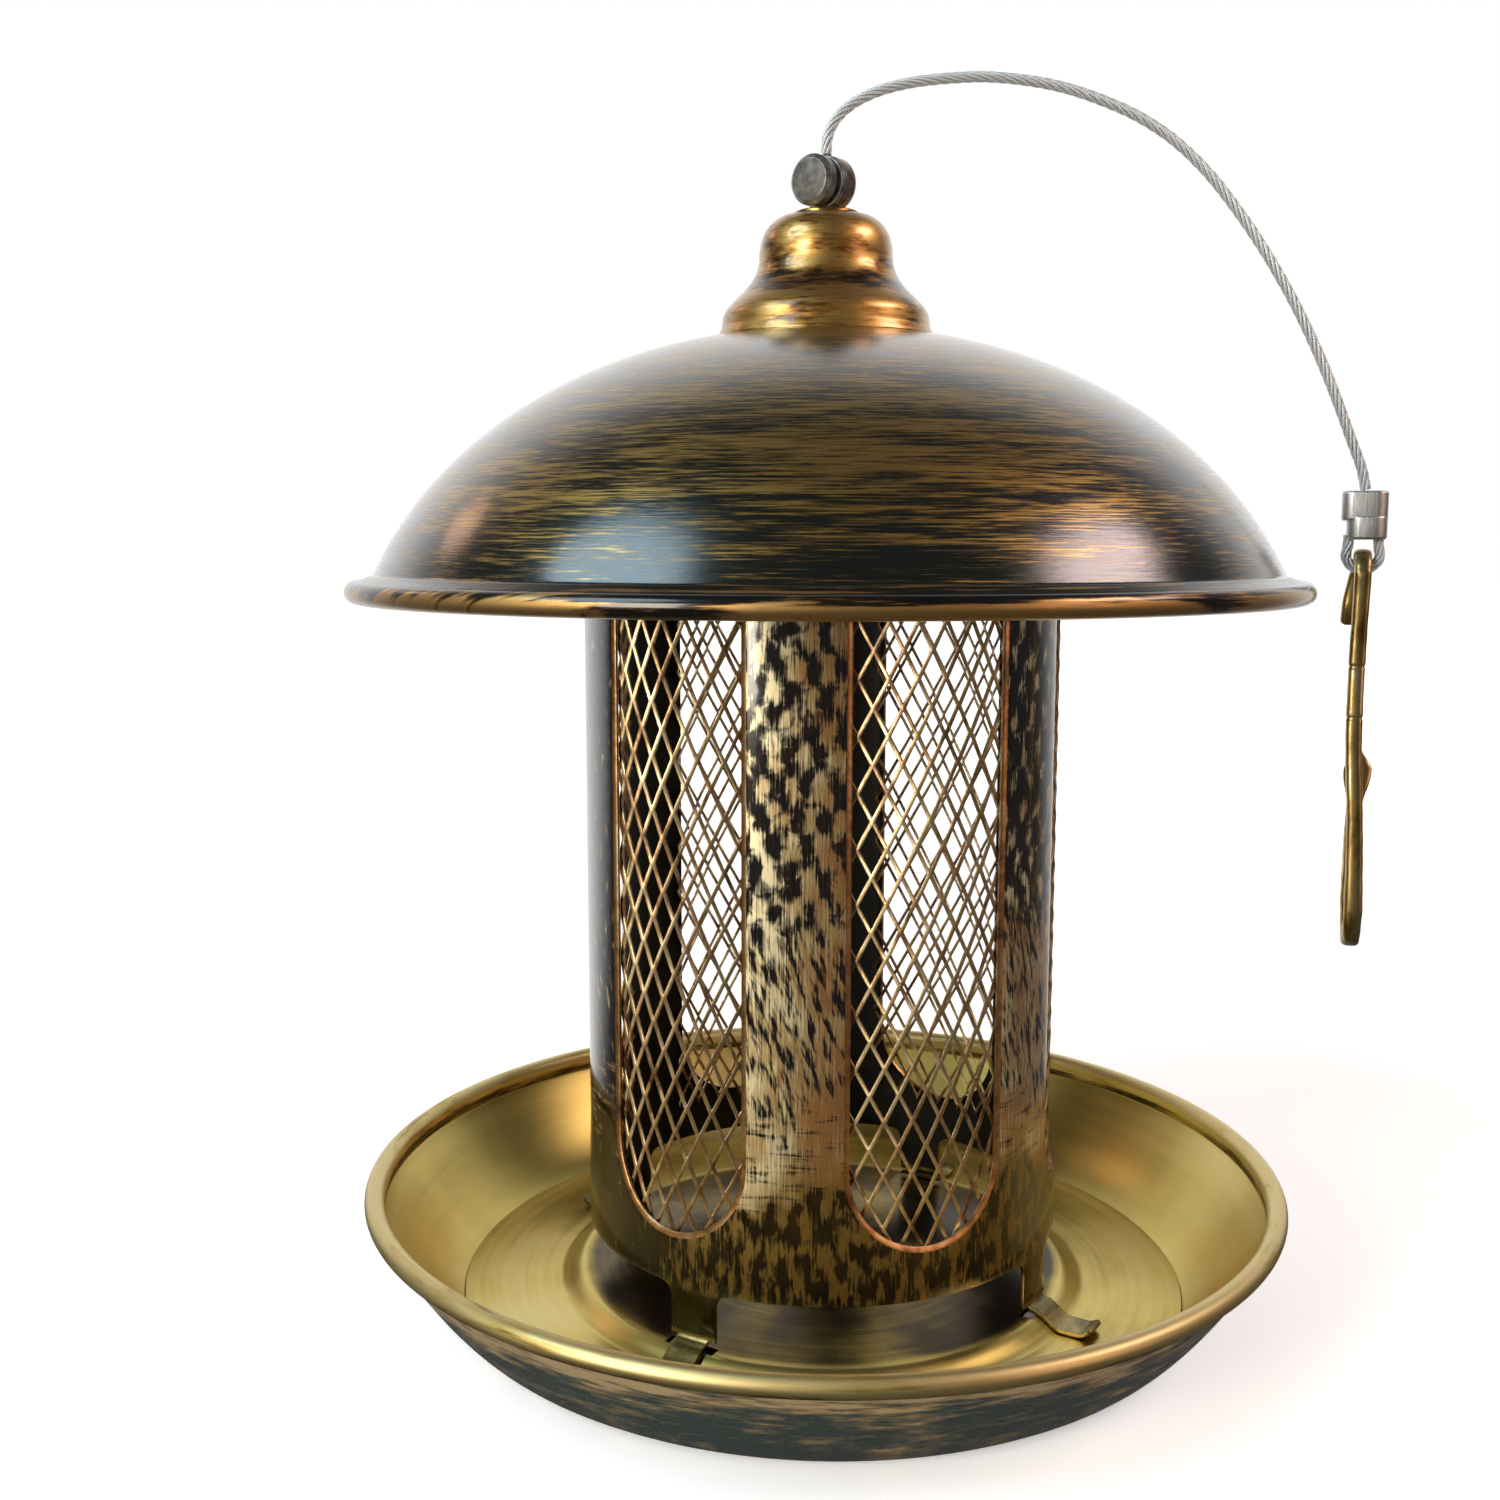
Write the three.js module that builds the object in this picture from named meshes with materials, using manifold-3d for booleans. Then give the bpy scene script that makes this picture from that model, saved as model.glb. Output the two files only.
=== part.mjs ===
// Mesh bird feeder: a windowed metal shell lined with expanded metal stands on a seed dish,
// under a domed roof that slides up a steel cable once the push-button lock is moved.
// Millimetres, +Z up. The origin is the centre of the dish's underside.
// A bearing is an angle seen from above: 0 faces the front (-Y) and 90 faces +X.

import * as THREE from "three";
import { mergeVertices } from "three/addons/utils/BufferGeometryUtils.js";
import Module from "manifold-3d";

const wasm = await Module();
wasm.setup();

// Clearances and tools shared by all pieces
const seatGap = 0.3; // between faces that rest on each other
const runGap = 0.4; // round anything that slides or passes through a hole
const cutOverrun = 3; // how far a cutting tool passes the face it cuts
const weldTolerance = 0.0001; // vertices closer than this are one vertex

// Seed dish
const trayRadius = 106.5; // over the rolled rim
const trayHeight = 28; // underside to the top of the rim
const trayBead = 4.4; // rolled rim's diameter
const traySheet = 1;
const trayBaseRadius = 84;
const plateauHeight = 3; // the raised middle that throws the seed outwards
const plateauMargin = 2.5; // plateau's edge beyond the shell
const plateauRise = 4; // width of the sloping step round the plateau
const trayWallPowerShare = 0.7; // below 1 the wall bulges outwards
const trayWallShares = [0.05, 0.18, 0.36, 0.56, 0.78]; // where the wall's curve has its points

// Shell
const shellRadius = 55;
const shellSheet = 0.8;
const feedGap = 12.4; // plateau to the shell's bottom edge
const windowCount = 6;
const windowWidth = 34.9;
const windowHeight = 163.3;
const windowSill = 11.3; // bottom edge of the shell to a window
const windowHead = 16.4; // a window to the top edge of the shell
const windowBearing = -38.25;

// Legs, blanked from the shell's bottom edge
const legCount = 4;
const legWidth = 11.2;
const legFillet = 3;
const legBearing = -32;
const footWidth = 7.6;
const footReach = 14.5; // toe beyond the shell's outside
const footBend = 1.6; // inside radius of the bend into the foot
const toeLength = 3;
const toeLift = 1.4;

// Expanded-metal panels behind the windows
const cellWidth = 15;
const cellHeight = 27.6;
const strandWidth = 1.7;
const strandThickness = 1.1;
const panelLap = 1.3; // panel beyond the window's edge

// Crossbar that carries the cable
const barWidth = 11;
const barThickness = 2;
const barDrop = 4; // top of the shell to the top of the bar
const barTab = 11; // height of the bent-down ends
const barBend = 2; // inside radius of the bends
const rivetRadius = 1.7;
const rivetHeadRadius = 3.3;
const rivetHeadHeight = 1.4;
const rivetHeadRoundShare = 0.75;

// Cable
const cableDiameter = 2.4;
const stopRadius = 3.3;
const stopLength = 8;
const cableTail = 1.5; // cable end below its stop
// Free cable's route, [x, height above the lock]: over in a stiff arc and down to the ferrule
const cableRoute = [
  [0, 0],
  [0.2, 3.6],
  [1.9, 7.4],
  [5.6, 10.8],
  [11, 13.4],
  [18, 15.2],
  [26.5, 16.2],
  [35, 16.5],
  [43.6, 15.8],
  [52, 14.3],
  [60.6, 11.6],
  [69.2, 7.9],
  [77.2, 2.8],
  [84.9, -4.2],
  [92.2, -12.9],
  [98.6, -21.8],
  [104.8, -31.7],
  [110.5, -42.4],
  [115.2, -52.7],
  [118.8, -61.4],
  [121.6, -68.2],
  [122.9, -73.2],
];

// Roof
const roofRadius = 106.8; // over the rolled rim
const roofSheet = 0.8;
const roofBead = 4.6;
const roofRise = 84.5; // half height of the dome's ellipse
const roofFlare = 3.2; // width of the sloping turn into the rolled rim
const rimDrop = 6; // end of the dome's curve to the centre of the rolled rim
const roofWidthShare = 1.0066; // ellipse's half width, of the roof's radius
const outerRoofShares = [1, 0.94, 0.86, 0.76, 0.66]; // where the curve has its points, of the edge
const innerRoofShares = [1, 0.78, 0.56, 0.34]; // and over the shell, of the shell's radius

// Finial bell
const finialRadius = 24.5;
const finialHeight = 26.2;
const finialLip = 4.4; // height of the upright lip at its foot
const finialLipTaper = 1.4;
const finialNeckRadius = 14.9;
const finialNeckHeight = 17.5;
const finialTopRadius = 10.4;
const finialSheet = 0.8;
const lipBulgeShare = 0.8; // part of the lip's taper taken by its lower half
// How the two curves leave and meet their ends: shares of their run and of their climb
const neckCurveShares = { leaveRun: 0.09, leaveClimb: 0.29, meetRun: 0.04, meetClimb: 0.47 };
const crownCurveShares = { leaveClimb: 0.46, meetRun: 0.29, meetClimb: 0.82 };

// Hollow bolt, washer and nut that hold the finial on the roof
const boltRadius = 3.2;
const boltWall = 1;
const flangeRadius = 7.4;
const flangeHeight = 1.1;
const washerRadius = 8;
const washerThickness = 1.2;
const nutFlats = 10;
const nutThickness = 4;
const boltEnd = 1.5; // thread below the nut

// Push-button cable lock; its axis lies level
const lockBearing = -38; // where the button faces
const housingRadius = 5.9;
const housingFront = 2; // front of the housing ahead of the cable
const housingLength = 6.3;
const housingWall = 0.8; // closed rear end
const stemRadius = 3;
const stemTail = 2; // end of the stem behind the cable
const buttonRadius = 5.5;
const buttonLength = 3.2;
const buttonChamfer = 1;
const buttonTravel = 1.1;
const springWire = 0.3;
const springTurns = 2;

// Hook end of the cable
const endBearing = 18; // the hook's plane, turned back to the right of straight back
const ferruleWidth = 10;
const ferruleDepth = 5.4;
const ferruleHeight = 11;
const ferruleBandWidth = 8.8;
const ferruleBandDepth = 6.2;
const ferruleBandHeight = 5.4;
const ferruleBandShift = 0.6;
const loopWidth = 9.8; // over both legs
const loopHeight = 8; // ferrule to the loop's outside bottom
const loopNeck = 2.4; // a leg's distance from the middle at the ferrule

// S-hook
const hookWidth = 3.6;
const hookThickness = 3.2;
const hookHeight = 93.2;
const upperCurlRadius = 6;
const upperTipLength = 11;
const upperTipSway = 2.2; // the upper tip stands to the left
const lowerCurlRadius = 11;
const lowerTipLength = 33;
const lowerTipSway = 2; // the lower tip stands to the right
const lowerTipPinch = 4.5; // how far the long leg leans in before its tip flares out
const shankLean = 1.2;
const leafWidth = 6.4;
const leafThickness = 1.8;
const curlSwellShare = 1.12; // the rod is hammered wider round the lower curl
const upperTipShares = { sway: 0.8, thickness: 0.75 };
const shankShares = [0.25, 0.5, 0.75]; // where the shank has its points
// Points up the lower tip: shares of its length, pinch, sway, rod width and rod thickness
const lowerTipShares = [
  { up: 0.3, pinch: 0.45, sway: 0.2, wide: 1, thick: 1 },
  { up: 0.6, pinch: 1, sway: 0.5, wide: 1, thick: 0.9 },
  { up: 0.85, pinch: 0.8, sway: 0.8, wide: leafWidth / hookWidth, thick: leafThickness / hookThickness },
  { up: 1, pinch: 0.1, sway: 1, wide: 0.35, thick: leafThickness / hookThickness / 2 },
];

// How finely round forms are drawn
const roofFacets = 44;
const trayFacets = 44;
const shellFacets = 42;
const finialFacets = 26;
const smallFacets = 18;
const cableSides = 8;
const cableStepShare = 2.4; // step along a cable, of its diameter

const finishes = {
  agedShell: { color: 0x6b5233, roughness: 0.42, metalness: 0.85 },
  agedRoof: { color: 0x3d3a31, roughness: 0.28, metalness: 0.85 },
  agedFinial: { color: 0x9c7a3c, roughness: 0.3, metalness: 0.9 },
  dishBrass: { color: 0x8f7d4a, roughness: 0.45, metalness: 0.7 },
  strandCopper: { color: 0x7a5434, roughness: 0.4, metalness: 0.9 },
  plainSteel: { color: 0x8d8f91, roughness: 0.4, metalness: 1 },
  goldWasher: { color: 0xb08a48, roughness: 0.28, metalness: 1 },
  gunmetal: { color: 0x54524f, roughness: 0.3, metalness: 1 },
  wireRope: { color: 0xb5b8ba, roughness: 0.35, metalness: 1 },
  crimpAluminium: { color: 0xc3c5c6, roughness: 0.5, metalness: 1 },
  agedHook: { color: 0x7d6233, roughness: 0.35, metalness: 0.95 },
};

const feeder = new THREE.Group();

function radians(degrees) {
  return THREE.MathUtils.degToRad(degrees);
}

// Point at a radius and a bearing
function onCircle(radius, bearing, z) {
  const angle = radians(bearing);
  return new THREE.Vector3(radius * Math.sin(angle), -radius * Math.cos(angle), z);
}

function addPiece(name, geometry, finish, parent = feeder) {
  const mesh = new THREE.Mesh(geometry, new THREE.MeshStandardMaterial(finishes[finish]));
  mesh.name = name;
  parent.add(mesh);
  return mesh;
}

// Welds a geometry's vertices and drops the triangles that closed up on the axis
function weld(geometry) {
  const bare = geometry.clone();
  bare.deleteAttribute("normal");
  bare.deleteAttribute("uv");
  const welded = mergeVertices(bare, weldTolerance);
  const source = welded.index.array;
  const kept = [];
  for (let i = 0; i < source.length; i += 3) {
    const [a, b, c] = [source[i], source[i + 1], source[i + 2]];
    if (a !== b && b !== c && c !== a) kept.push(a, b, c);
  }
  welded.setIndex(kept);
  return welded;
}

function toSolid(geometry) {
  const welded = weld(geometry);
  const vertProperties = new Float32Array(welded.attributes.position.array);
  const triVerts = new Uint32Array(welded.index.array);
  return new wasm.Manifold(new wasm.Mesh({ numProp: 3, vertProperties, triVerts }));
}

function toGeometry(solid) {
  const mesh = solid.getMesh();
  const geometry = new THREE.BufferGeometry();
  geometry.setAttribute("position", new THREE.Float32BufferAttribute(mesh.vertProperties, 3));
  geometry.setIndex(Array.from(mesh.triVerts));
  return geometry;
}

// Revolves a closed outline of [radius, z] points about Z
function revolve(outline, facets) {
  const points = outline.map(([r, z]) => new THREE.Vector2(r, z));
  if (THREE.ShapeUtils.isClockWise(points)) points.reverse();
  points.push(points[0].clone());
  const geometry = new THREE.LatheGeometry(points, facets);
  geometry.rotateX(Math.PI / 2);
  return weld(geometry);
}

// Extrudes a flat outline, drawn across and up, along a bearing between two radii
function radialPrism(outline, bearing, innerRadius, outerRadius) {
  const geometry = new THREE.ExtrudeGeometry(outline, {
    depth: outerRadius - innerRadius,
    bevelEnabled: false,
    curveSegments: 7,
  });
  geometry.rotateX(Math.PI / 2);
  geometry.translate(0, -innerRadius, 0);
  geometry.rotateZ(radians(bearing));
  return geometry;
}

// Extrudes an outline drawn as distance out and height, centred on a bearing, to a width
function bearingSlab(outline, bearing, width) {
  const geometry = new THREE.ExtrudeGeometry(outline, { depth: width, bevelEnabled: false });
  geometry.translate(0, 0, -width / 2);
  geometry.rotateX(Math.PI / 2);
  geometry.rotateZ(radians(bearing) - Math.PI / 2);
  return geometry;
}

// A bent strip's outline: the given line thickened to both sides
function stripOutline(line, thickness) {
  const half = thickness / 2;
  const left = [];
  const right = [];
  line.forEach((point, i) => {
    const before = line[Math.max(i - 1, 0)];
    const after = line[Math.min(i + 1, line.length - 1)];
    const along = new THREE.Vector2().subVectors(after, before).normalize();
    left.push(new THREE.Vector2(point.x - along.y * half, point.y + along.x * half));
    right.unshift(new THREE.Vector2(point.x + along.y * half, point.y - along.x * half));
  });
  return new THREE.Shape([...left, ...right]);
}

function arcPoints(centreX, centreY, radius, fromDegrees, toDegrees, steps) {
  const points = [];
  for (let i = 0; i <= steps; i += 1) {
    const angle = radians(fromDegrees + ((toDegrees - fromDegrees) * i) / steps);
    points.push(new THREE.Vector2(centreX + radius * Math.cos(angle), centreY + radius * Math.sin(angle)));
  }
  return points;
}

// A stadium outline, upright or level, whose ends are half circles
function stadium(width, height) {
  const radius = Math.min(width, height) / 2;
  const outline = new THREE.Shape();
  if (height > width) {
    outline.absarc(0, height / 2 - radius, radius, 0, Math.PI);
    outline.absarc(0, radius - height / 2, radius, Math.PI, 2 * Math.PI);
  } else {
    outline.absarc(width / 2 - radius, 0, radius, -Math.PI / 2, Math.PI / 2);
    outline.absarc(radius - width / 2, 0, radius, Math.PI / 2, (3 * Math.PI) / 2);
  }
  return outline;
}

// A round tube along a smooth route
function cableTube(route, diameter, stepsAtLeast) {
  const curve = new THREE.CatmullRomCurve3(route, false, "centripetal");
  const steps = Math.max(stepsAtLeast, Math.round(curve.getLength() / (diameter * cableStepShare)));
  const section = new THREE.Shape(arcPoints(0, 0, diameter / 2, 0, 360, cableSides).slice(0, cableSides));
  return new THREE.ExtrudeGeometry(section, { steps, bevelEnabled: false, extrudePath: curve });
}

// Heights that the pieces share
const trayFloor = traySheet;
const plateauTop = trayFloor + plateauHeight;
const plateauRadius = shellRadius + plateauMargin;
const shellBottom = plateauTop + feedGap;
const shellTop = shellBottom + (windowSill + windowHeight + windowHead);
const shellInside = shellRadius - shellSheet;
const windowCentre = shellBottom + windowSill + windowHeight / 2;
const barTop = shellTop - barDrop;
const barBottom = barTop - barThickness;
const pillarBearing = windowBearing + 180 / windowCount;

// Dish: flat base, raised plateau, bulged wall and rolled rim, slotted where the feet come out
function trayOutline() {
  const beadRadius = trayBead / 2;
  const beadCentre = [trayRadius - beadRadius, trayHeight - beadRadius];
  const wallTop = beadCentre[1] - beadRadius / 2;
  const wallAt = (share, inset) => [
    trayBaseRadius + (beadCentre[0] - trayBaseRadius) * share ** trayWallPowerShare - inset,
    wallTop * share,
  ];
  const outside = trayWallShares.map((share) => wallAt(share, 0));
  const inside = trayWallShares.map((share) => wallAt(share, traySheet)).reverse();
  const bead = arcPoints(...beadCentre, beadRadius, -90, 180, 7).map((p) => [p.x, p.y]);
  const stepFoot = plateauRadius + plateauRise;
  const floorEdge = wallAt(trayWallShares[0], traySheet)[0] - traySheet;
  return [
    [0, plateauTop - traySheet],
    [plateauRadius - traySheet, plateauTop - traySheet],
    [stepFoot - traySheet, 0],
    [trayBaseRadius, 0],
    ...outside,
    ...bead,
    ...inside,
    [floorEdge, trayFloor],
    [stepFoot, trayFloor],
    [plateauRadius + plateauRise / 3, plateauTop - plateauHeight / 2],
    [plateauRadius, plateauTop],
    [0, plateauTop],
  ];
}

function makeTray() {
  let tray = toSolid(revolve(trayOutline(), trayFacets));
  const slotInner = shellInside - runGap;
  const slotOuter = plateauRadius + plateauRise - traySheet / 2;
  const slotHeight = plateauTop + 2 * cutOverrun;
  for (let i = 0; i < legCount; i += 1) {
    const bearing = legBearing + (360 / legCount) * i;
    const legSlot = new THREE.BoxGeometry(
      legWidth + 2 * runGap,
      shellSheet + 2 * runGap,
      slotHeight,
    );
    legSlot.translate(0, -(shellRadius - shellSheet / 2), slotHeight / 2 - cutOverrun);
    legSlot.rotateZ(radians(bearing));
    const footSlot = new THREE.BoxGeometry(footWidth + 2 * runGap, slotOuter - slotInner, slotHeight);
    footSlot.translate(0, -(slotInner + slotOuter) / 2, slotHeight / 2 - cutOverrun);
    footSlot.rotateZ(radians(bearing));
    tray = tray.subtract(toSolid(legSlot)).subtract(toSolid(footSlot));
  }
  return toGeometry(tray);
}

// Shell: a rolled tube with six windows, four legs whose feet turn out through the dish
function legShape(legBottom) {
  const half = legWidth / 2;
  const root = shellBottom + cutOverrun;
  const outline = new THREE.Shape();
  outline.moveTo(-half, legBottom);
  outline.lineTo(half, legBottom);
  outline.lineTo(half, shellBottom - legFillet);
  outline.absarc(half + legFillet, shellBottom - legFillet, legFillet, Math.PI, Math.PI / 2, true);
  outline.lineTo(half + legFillet, root);
  outline.lineTo(-half - legFillet, root);
  outline.lineTo(-half - legFillet, shellBottom);
  outline.absarc(-half - legFillet, shellBottom - legFillet, legFillet, Math.PI / 2, 0, true);
  return outline;
}

function footLine(footMiddle) {
  const bendRadius = footBend + shellSheet / 2;
  const legMiddle = shellRadius - shellSheet / 2;
  const bendCentre = new THREE.Vector2(legMiddle + bendRadius, footMiddle + bendRadius);
  const toe = shellRadius + footReach;
  return [
    new THREE.Vector2(legMiddle, footMiddle + bendRadius + 2 * shellSheet),
    ...arcPoints(bendCentre.x, bendCentre.y, bendRadius, 180, 270, 4),
    new THREE.Vector2(toe - toeLength, footMiddle),
    new THREE.Vector2(toe, footMiddle + toeLift),
  ];
}

function makeShell() {
  const footMiddle = trayFloor + seatGap + shellSheet / 2;
  const legBottom = footMiddle + footBend + shellSheet / 2;
  const upper = [
    [shellInside, shellBottom],
    [shellRadius, shellBottom],
    [shellRadius, shellTop],
    [shellInside, shellTop],
  ];
  const skirt = [
    [shellInside, legBottom],
    [shellRadius, legBottom],
    [shellRadius, shellBottom + windowSill / 2],
    [shellInside, shellBottom + windowSill / 2],
  ];
  let shell = toSolid(revolve(upper, shellFacets));
  const skirtTube = toSolid(revolve(skirt, shellFacets));
  const reachIn = shellInside - cutOverrun;
  const reachOut = shellRadius + cutOverrun;
  for (let i = 0; i < legCount; i += 1) {
    const bearing = legBearing + (360 / legCount) * i;
    const blank = toSolid(radialPrism(legShape(legBottom), bearing, reachIn, reachOut));
    const foot = toSolid(bearingSlab(stripOutline(footLine(footMiddle), shellSheet), bearing, footWidth));
    shell = shell.add(skirtTube.intersect(blank)).add(foot);
  }
  for (let i = 0; i < windowCount; i += 1) {
    const bearing = windowBearing + (360 / windowCount) * i;
    const opening = radialPrism(stadium(windowWidth, windowHeight), bearing, reachIn, reachOut);
    opening.translate(0, 0, windowCentre);
    shell = shell.subtract(toSolid(opening));
  }
  for (const side of [0, 180]) {
    const hole = new THREE.Shape(arcPoints(0, 0, rivetRadius + runGap, 0, 330, 11));
    const drill = radialPrism(hole, pillarBearing + side, reachIn, reachOut);
    drill.translate(0, 0, rivetHeight());
    shell = shell.subtract(toSolid(drill));
  }
  return toGeometry(shell);
}

// Expanded metal: rhombic knots joined by slanting strands, rolled to the shell's inside.
// Each panel is as wide as its window and laps over the edge.
function makePanel(bearing) {
  const halfColumns = Math.max(2, Math.round((windowWidth + 2 * panelLap) / (cellWidth / 2)));
  const halfRows = Math.max(2, Math.round((windowHeight + 2 * panelLap) / (cellHeight / 2)));
  const stepAcross = (windowWidth + 2 * panelLap) / halfColumns;
  const stepUp = (windowHeight + 2 * panelLap) / halfRows;
  const slant = Math.hypot(stepAcross, stepUp);
  const knotHalfWidth = (strandWidth / 2) * (slant / stepUp);
  const knotHalfHeight = (strandWidth / 2) * (slant / stepAcross);
  const outer = shellInside * Math.cos(Math.PI / shellFacets) - seatGap;
  const inner = outer - strandThickness;
  const positions = [];
  const triangles = [];
  const knots = new Map();

  function addVertex(across, up) {
    const turn = bearing + THREE.MathUtils.radToDeg(across / outer);
    for (const radius of [outer, inner]) positions.push(...onCircle(radius, turn, windowCentre + up).toArray());
    return positions.length / 3 - 2;
  }
  function addFace(corners) {
    for (let i = 2; i < corners.length; i += 1) {
      triangles.push(corners[0], corners[i - 1], corners[i]);
      triangles.push(corners[0] + 1, corners[i] + 1, corners[i - 1] + 1);
    }
  }
  function addWall(from, to) {
    triangles.push(from, from + 1, to + 1, from, to + 1, to);
  }

  for (let row = 0; row <= halfRows; row += 1) {
    for (let column = row % 2; column <= halfColumns; column += 2) {
      const across = (column - halfColumns / 2) * stepAcross;
      const up = (row - halfRows / 2) * stepUp;
      const knot = {
        east: addVertex(across + knotHalfWidth, up),
        north: addVertex(across, up + knotHalfHeight),
        west: addVertex(across - knotHalfWidth, up),
        south: addVertex(across, up - knotHalfHeight),
      };
      addFace([knot.east, knot.north, knot.west, knot.south]);
      knots.set(`${column},${row}`, knot);
    }
  }
  for (const [key, knot] of knots) {
    const [column, row] = key.split(",").map(Number);
    const upRight = knots.get(`${column + 1},${row + 1}`);
    const upLeft = knots.get(`${column - 1},${row + 1}`);
    if (upRight) {
      addFace([knot.east, upRight.south, upRight.west, knot.north]);
      addWall(knot.east, upRight.south);
      addWall(upRight.west, knot.north);
    } else {
      addWall(knot.east, knot.north);
    }
    if (upLeft) {
      addFace([knot.north, upLeft.east, upLeft.south, knot.west]);
      addWall(knot.north, upLeft.east);
      addWall(upLeft.south, knot.west);
    } else {
      addWall(knot.north, knot.west);
    }
    if (!knots.has(`${column - 1},${row - 1}`)) addWall(knot.west, knot.south);
    if (!knots.has(`${column + 1},${row - 1}`)) addWall(knot.south, knot.east);
  }
  const geometry = new THREE.BufferGeometry();
  geometry.setAttribute("position", new THREE.Float32BufferAttribute(positions, 3));
  geometry.setIndex(triangles);
  return geometry;
}

// Crossbar: a strip across the top of the shell with its ends bent down and riveted to two pillars
function tabFace() {
  return Math.sqrt((shellInside * Math.cos(Math.PI / shellFacets)) ** 2 - (barWidth / 2) ** 2) - seatGap;
}

function rivetHeight() {
  return barTop - barTab + barTab / 3;
}

function makeCrossbar() {
  const reach = tabFace() - barThickness / 2;
  const bend = barBend + barThickness / 2;
  const middle = barTop - barThickness / 2;
  const line = [
    new THREE.Vector2(-reach, barTop - barTab),
    ...arcPoints(bend - reach, middle - bend, bend, 180, 90, 4),
    ...arcPoints(reach - bend, middle - bend, bend, 90, 0, 4),
    new THREE.Vector2(reach, barTop - barTab),
  ];
  const strip = bearingSlab(stripOutline(line, barThickness), pillarBearing, barWidth);
  const cableHole = new THREE.CylinderGeometry(
    cableDiameter / 2 + runGap,
    cableDiameter / 2 + runGap,
    barThickness + 2 * cutOverrun,
    smallFacets / 2,
  );
  cableHole.rotateX(Math.PI / 2);
  cableHole.translate(0, 0, middle);
  let bar = toSolid(strip).subtract(toSolid(cableHole));
  for (const side of [0, 180]) {
    const hole = new THREE.Shape(arcPoints(0, 0, rivetRadius + runGap, 0, 330, 11));
    const drill = radialPrism(hole, pillarBearing + side, reach - cutOverrun, reach + cutOverrun);
    drill.translate(0, 0, rivetHeight());
    bar = bar.subtract(toSolid(drill));
  }
  return toGeometry(bar);
}

function makeRivet(side) {
  const innerFace = tabFace() - barThickness - seatGap;
  const outerFace = shellRadius + seatGap;
  const outline = [
    [0, innerFace - rivetHeadHeight],
    [rivetHeadRadius * rivetHeadRoundShare, innerFace - rivetHeadHeight],
    [rivetHeadRadius, innerFace - rivetHeadHeight / 2],
    [rivetHeadRadius, innerFace],
    [rivetRadius, innerFace],
    [rivetRadius, outerFace],
    [rivetHeadRadius, outerFace],
    [rivetHeadRadius * rivetHeadRoundShare, outerFace + rivetHeadHeight * rivetHeadRoundShare],
    [0, outerFace + rivetHeadHeight],
  ];
  const geometry = revolve(outline, smallFacets / 2);
  geometry.rotateX(Math.PI / 2);
  geometry.rotateZ(radians(pillarBearing + side));
  geometry.translate(0, 0, rivetHeight());
  return geometry;
}

// Crimped stop under the crossbar, and the straight run of cable from it to the lock
const stopTop = barBottom - seatGap;
const cableEnd = stopTop - stopLength - cableTail;

function makeCableStop() {
  const bore = cableDiameter / 2 + seatGap;
  const chamfer = stopRadius - bore;
  const outline = [
    [bore, stopTop - stopLength],
    [stopRadius - chamfer / 3, stopTop - stopLength],
    [stopRadius, stopTop - stopLength + chamfer / 3],
    [stopRadius, stopTop - chamfer / 3],
    [stopRadius - chamfer / 3, stopTop],
    [bore, stopTop],
  ];
  return revolve(outline, smallFacets);
}

// Roof: an elliptical dome that flares into a rolled rim and rests on the shell's top edge
const domeHalfWidth = roofRadius * roofWidthShare;
const innerHalfWidth = domeHalfWidth - roofSheet;
const innerRise = roofRise - roofSheet;
const boltHole = boltRadius + runGap;

function ellipseHeight(radius, halfWidth, rise) {
  return rise * Math.sqrt(1 - (radius / halfWidth) ** 2);
}

const domeCentre = shellTop + seatGap - ellipseHeight(shellRadius, innerHalfWidth, innerRise);
const domeEdge = roofRadius - roofBead - roofFlare;

function makeRoof() {
  const edgeHeight = domeCentre + ellipseHeight(domeEdge, domeHalfWidth, roofRise);
  const beadRadius = roofBead / 2;
  const beadCentre = [roofRadius - beadRadius, edgeHeight - rimDrop];
  const outerRadii = [
    ...outerRoofShares.map((share) => domeEdge * share),
    ...innerRoofShares.map((share) => shellRadius * share),
    boltHole,
  ];
  const outside = outerRadii.map((r) => [r, domeCentre + ellipseHeight(r, domeHalfWidth, roofRise)]);
  const inside = outerRadii.map((r) => {
    const radius = r === domeEdge ? r - roofSheet : r;
    return [radius, domeCentre + ellipseHeight(radius, innerHalfWidth, innerRise)];
  });
  const bead = arcPoints(...beadCentre, beadRadius, -160, 100, 7).map((p) => [p.x, p.y]);
  return revolve([...bead, ...outside, ...inside.reverse()], roofFacets);
}

// Finial: a spun bell with an upright lip, a drawn-in neck and a rounded top
const finialBase = domeCentre + ellipseHeight(finialRadius, domeHalfWidth, roofRise) + seatGap;
const finialTop = finialBase + finialHeight;

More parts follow.
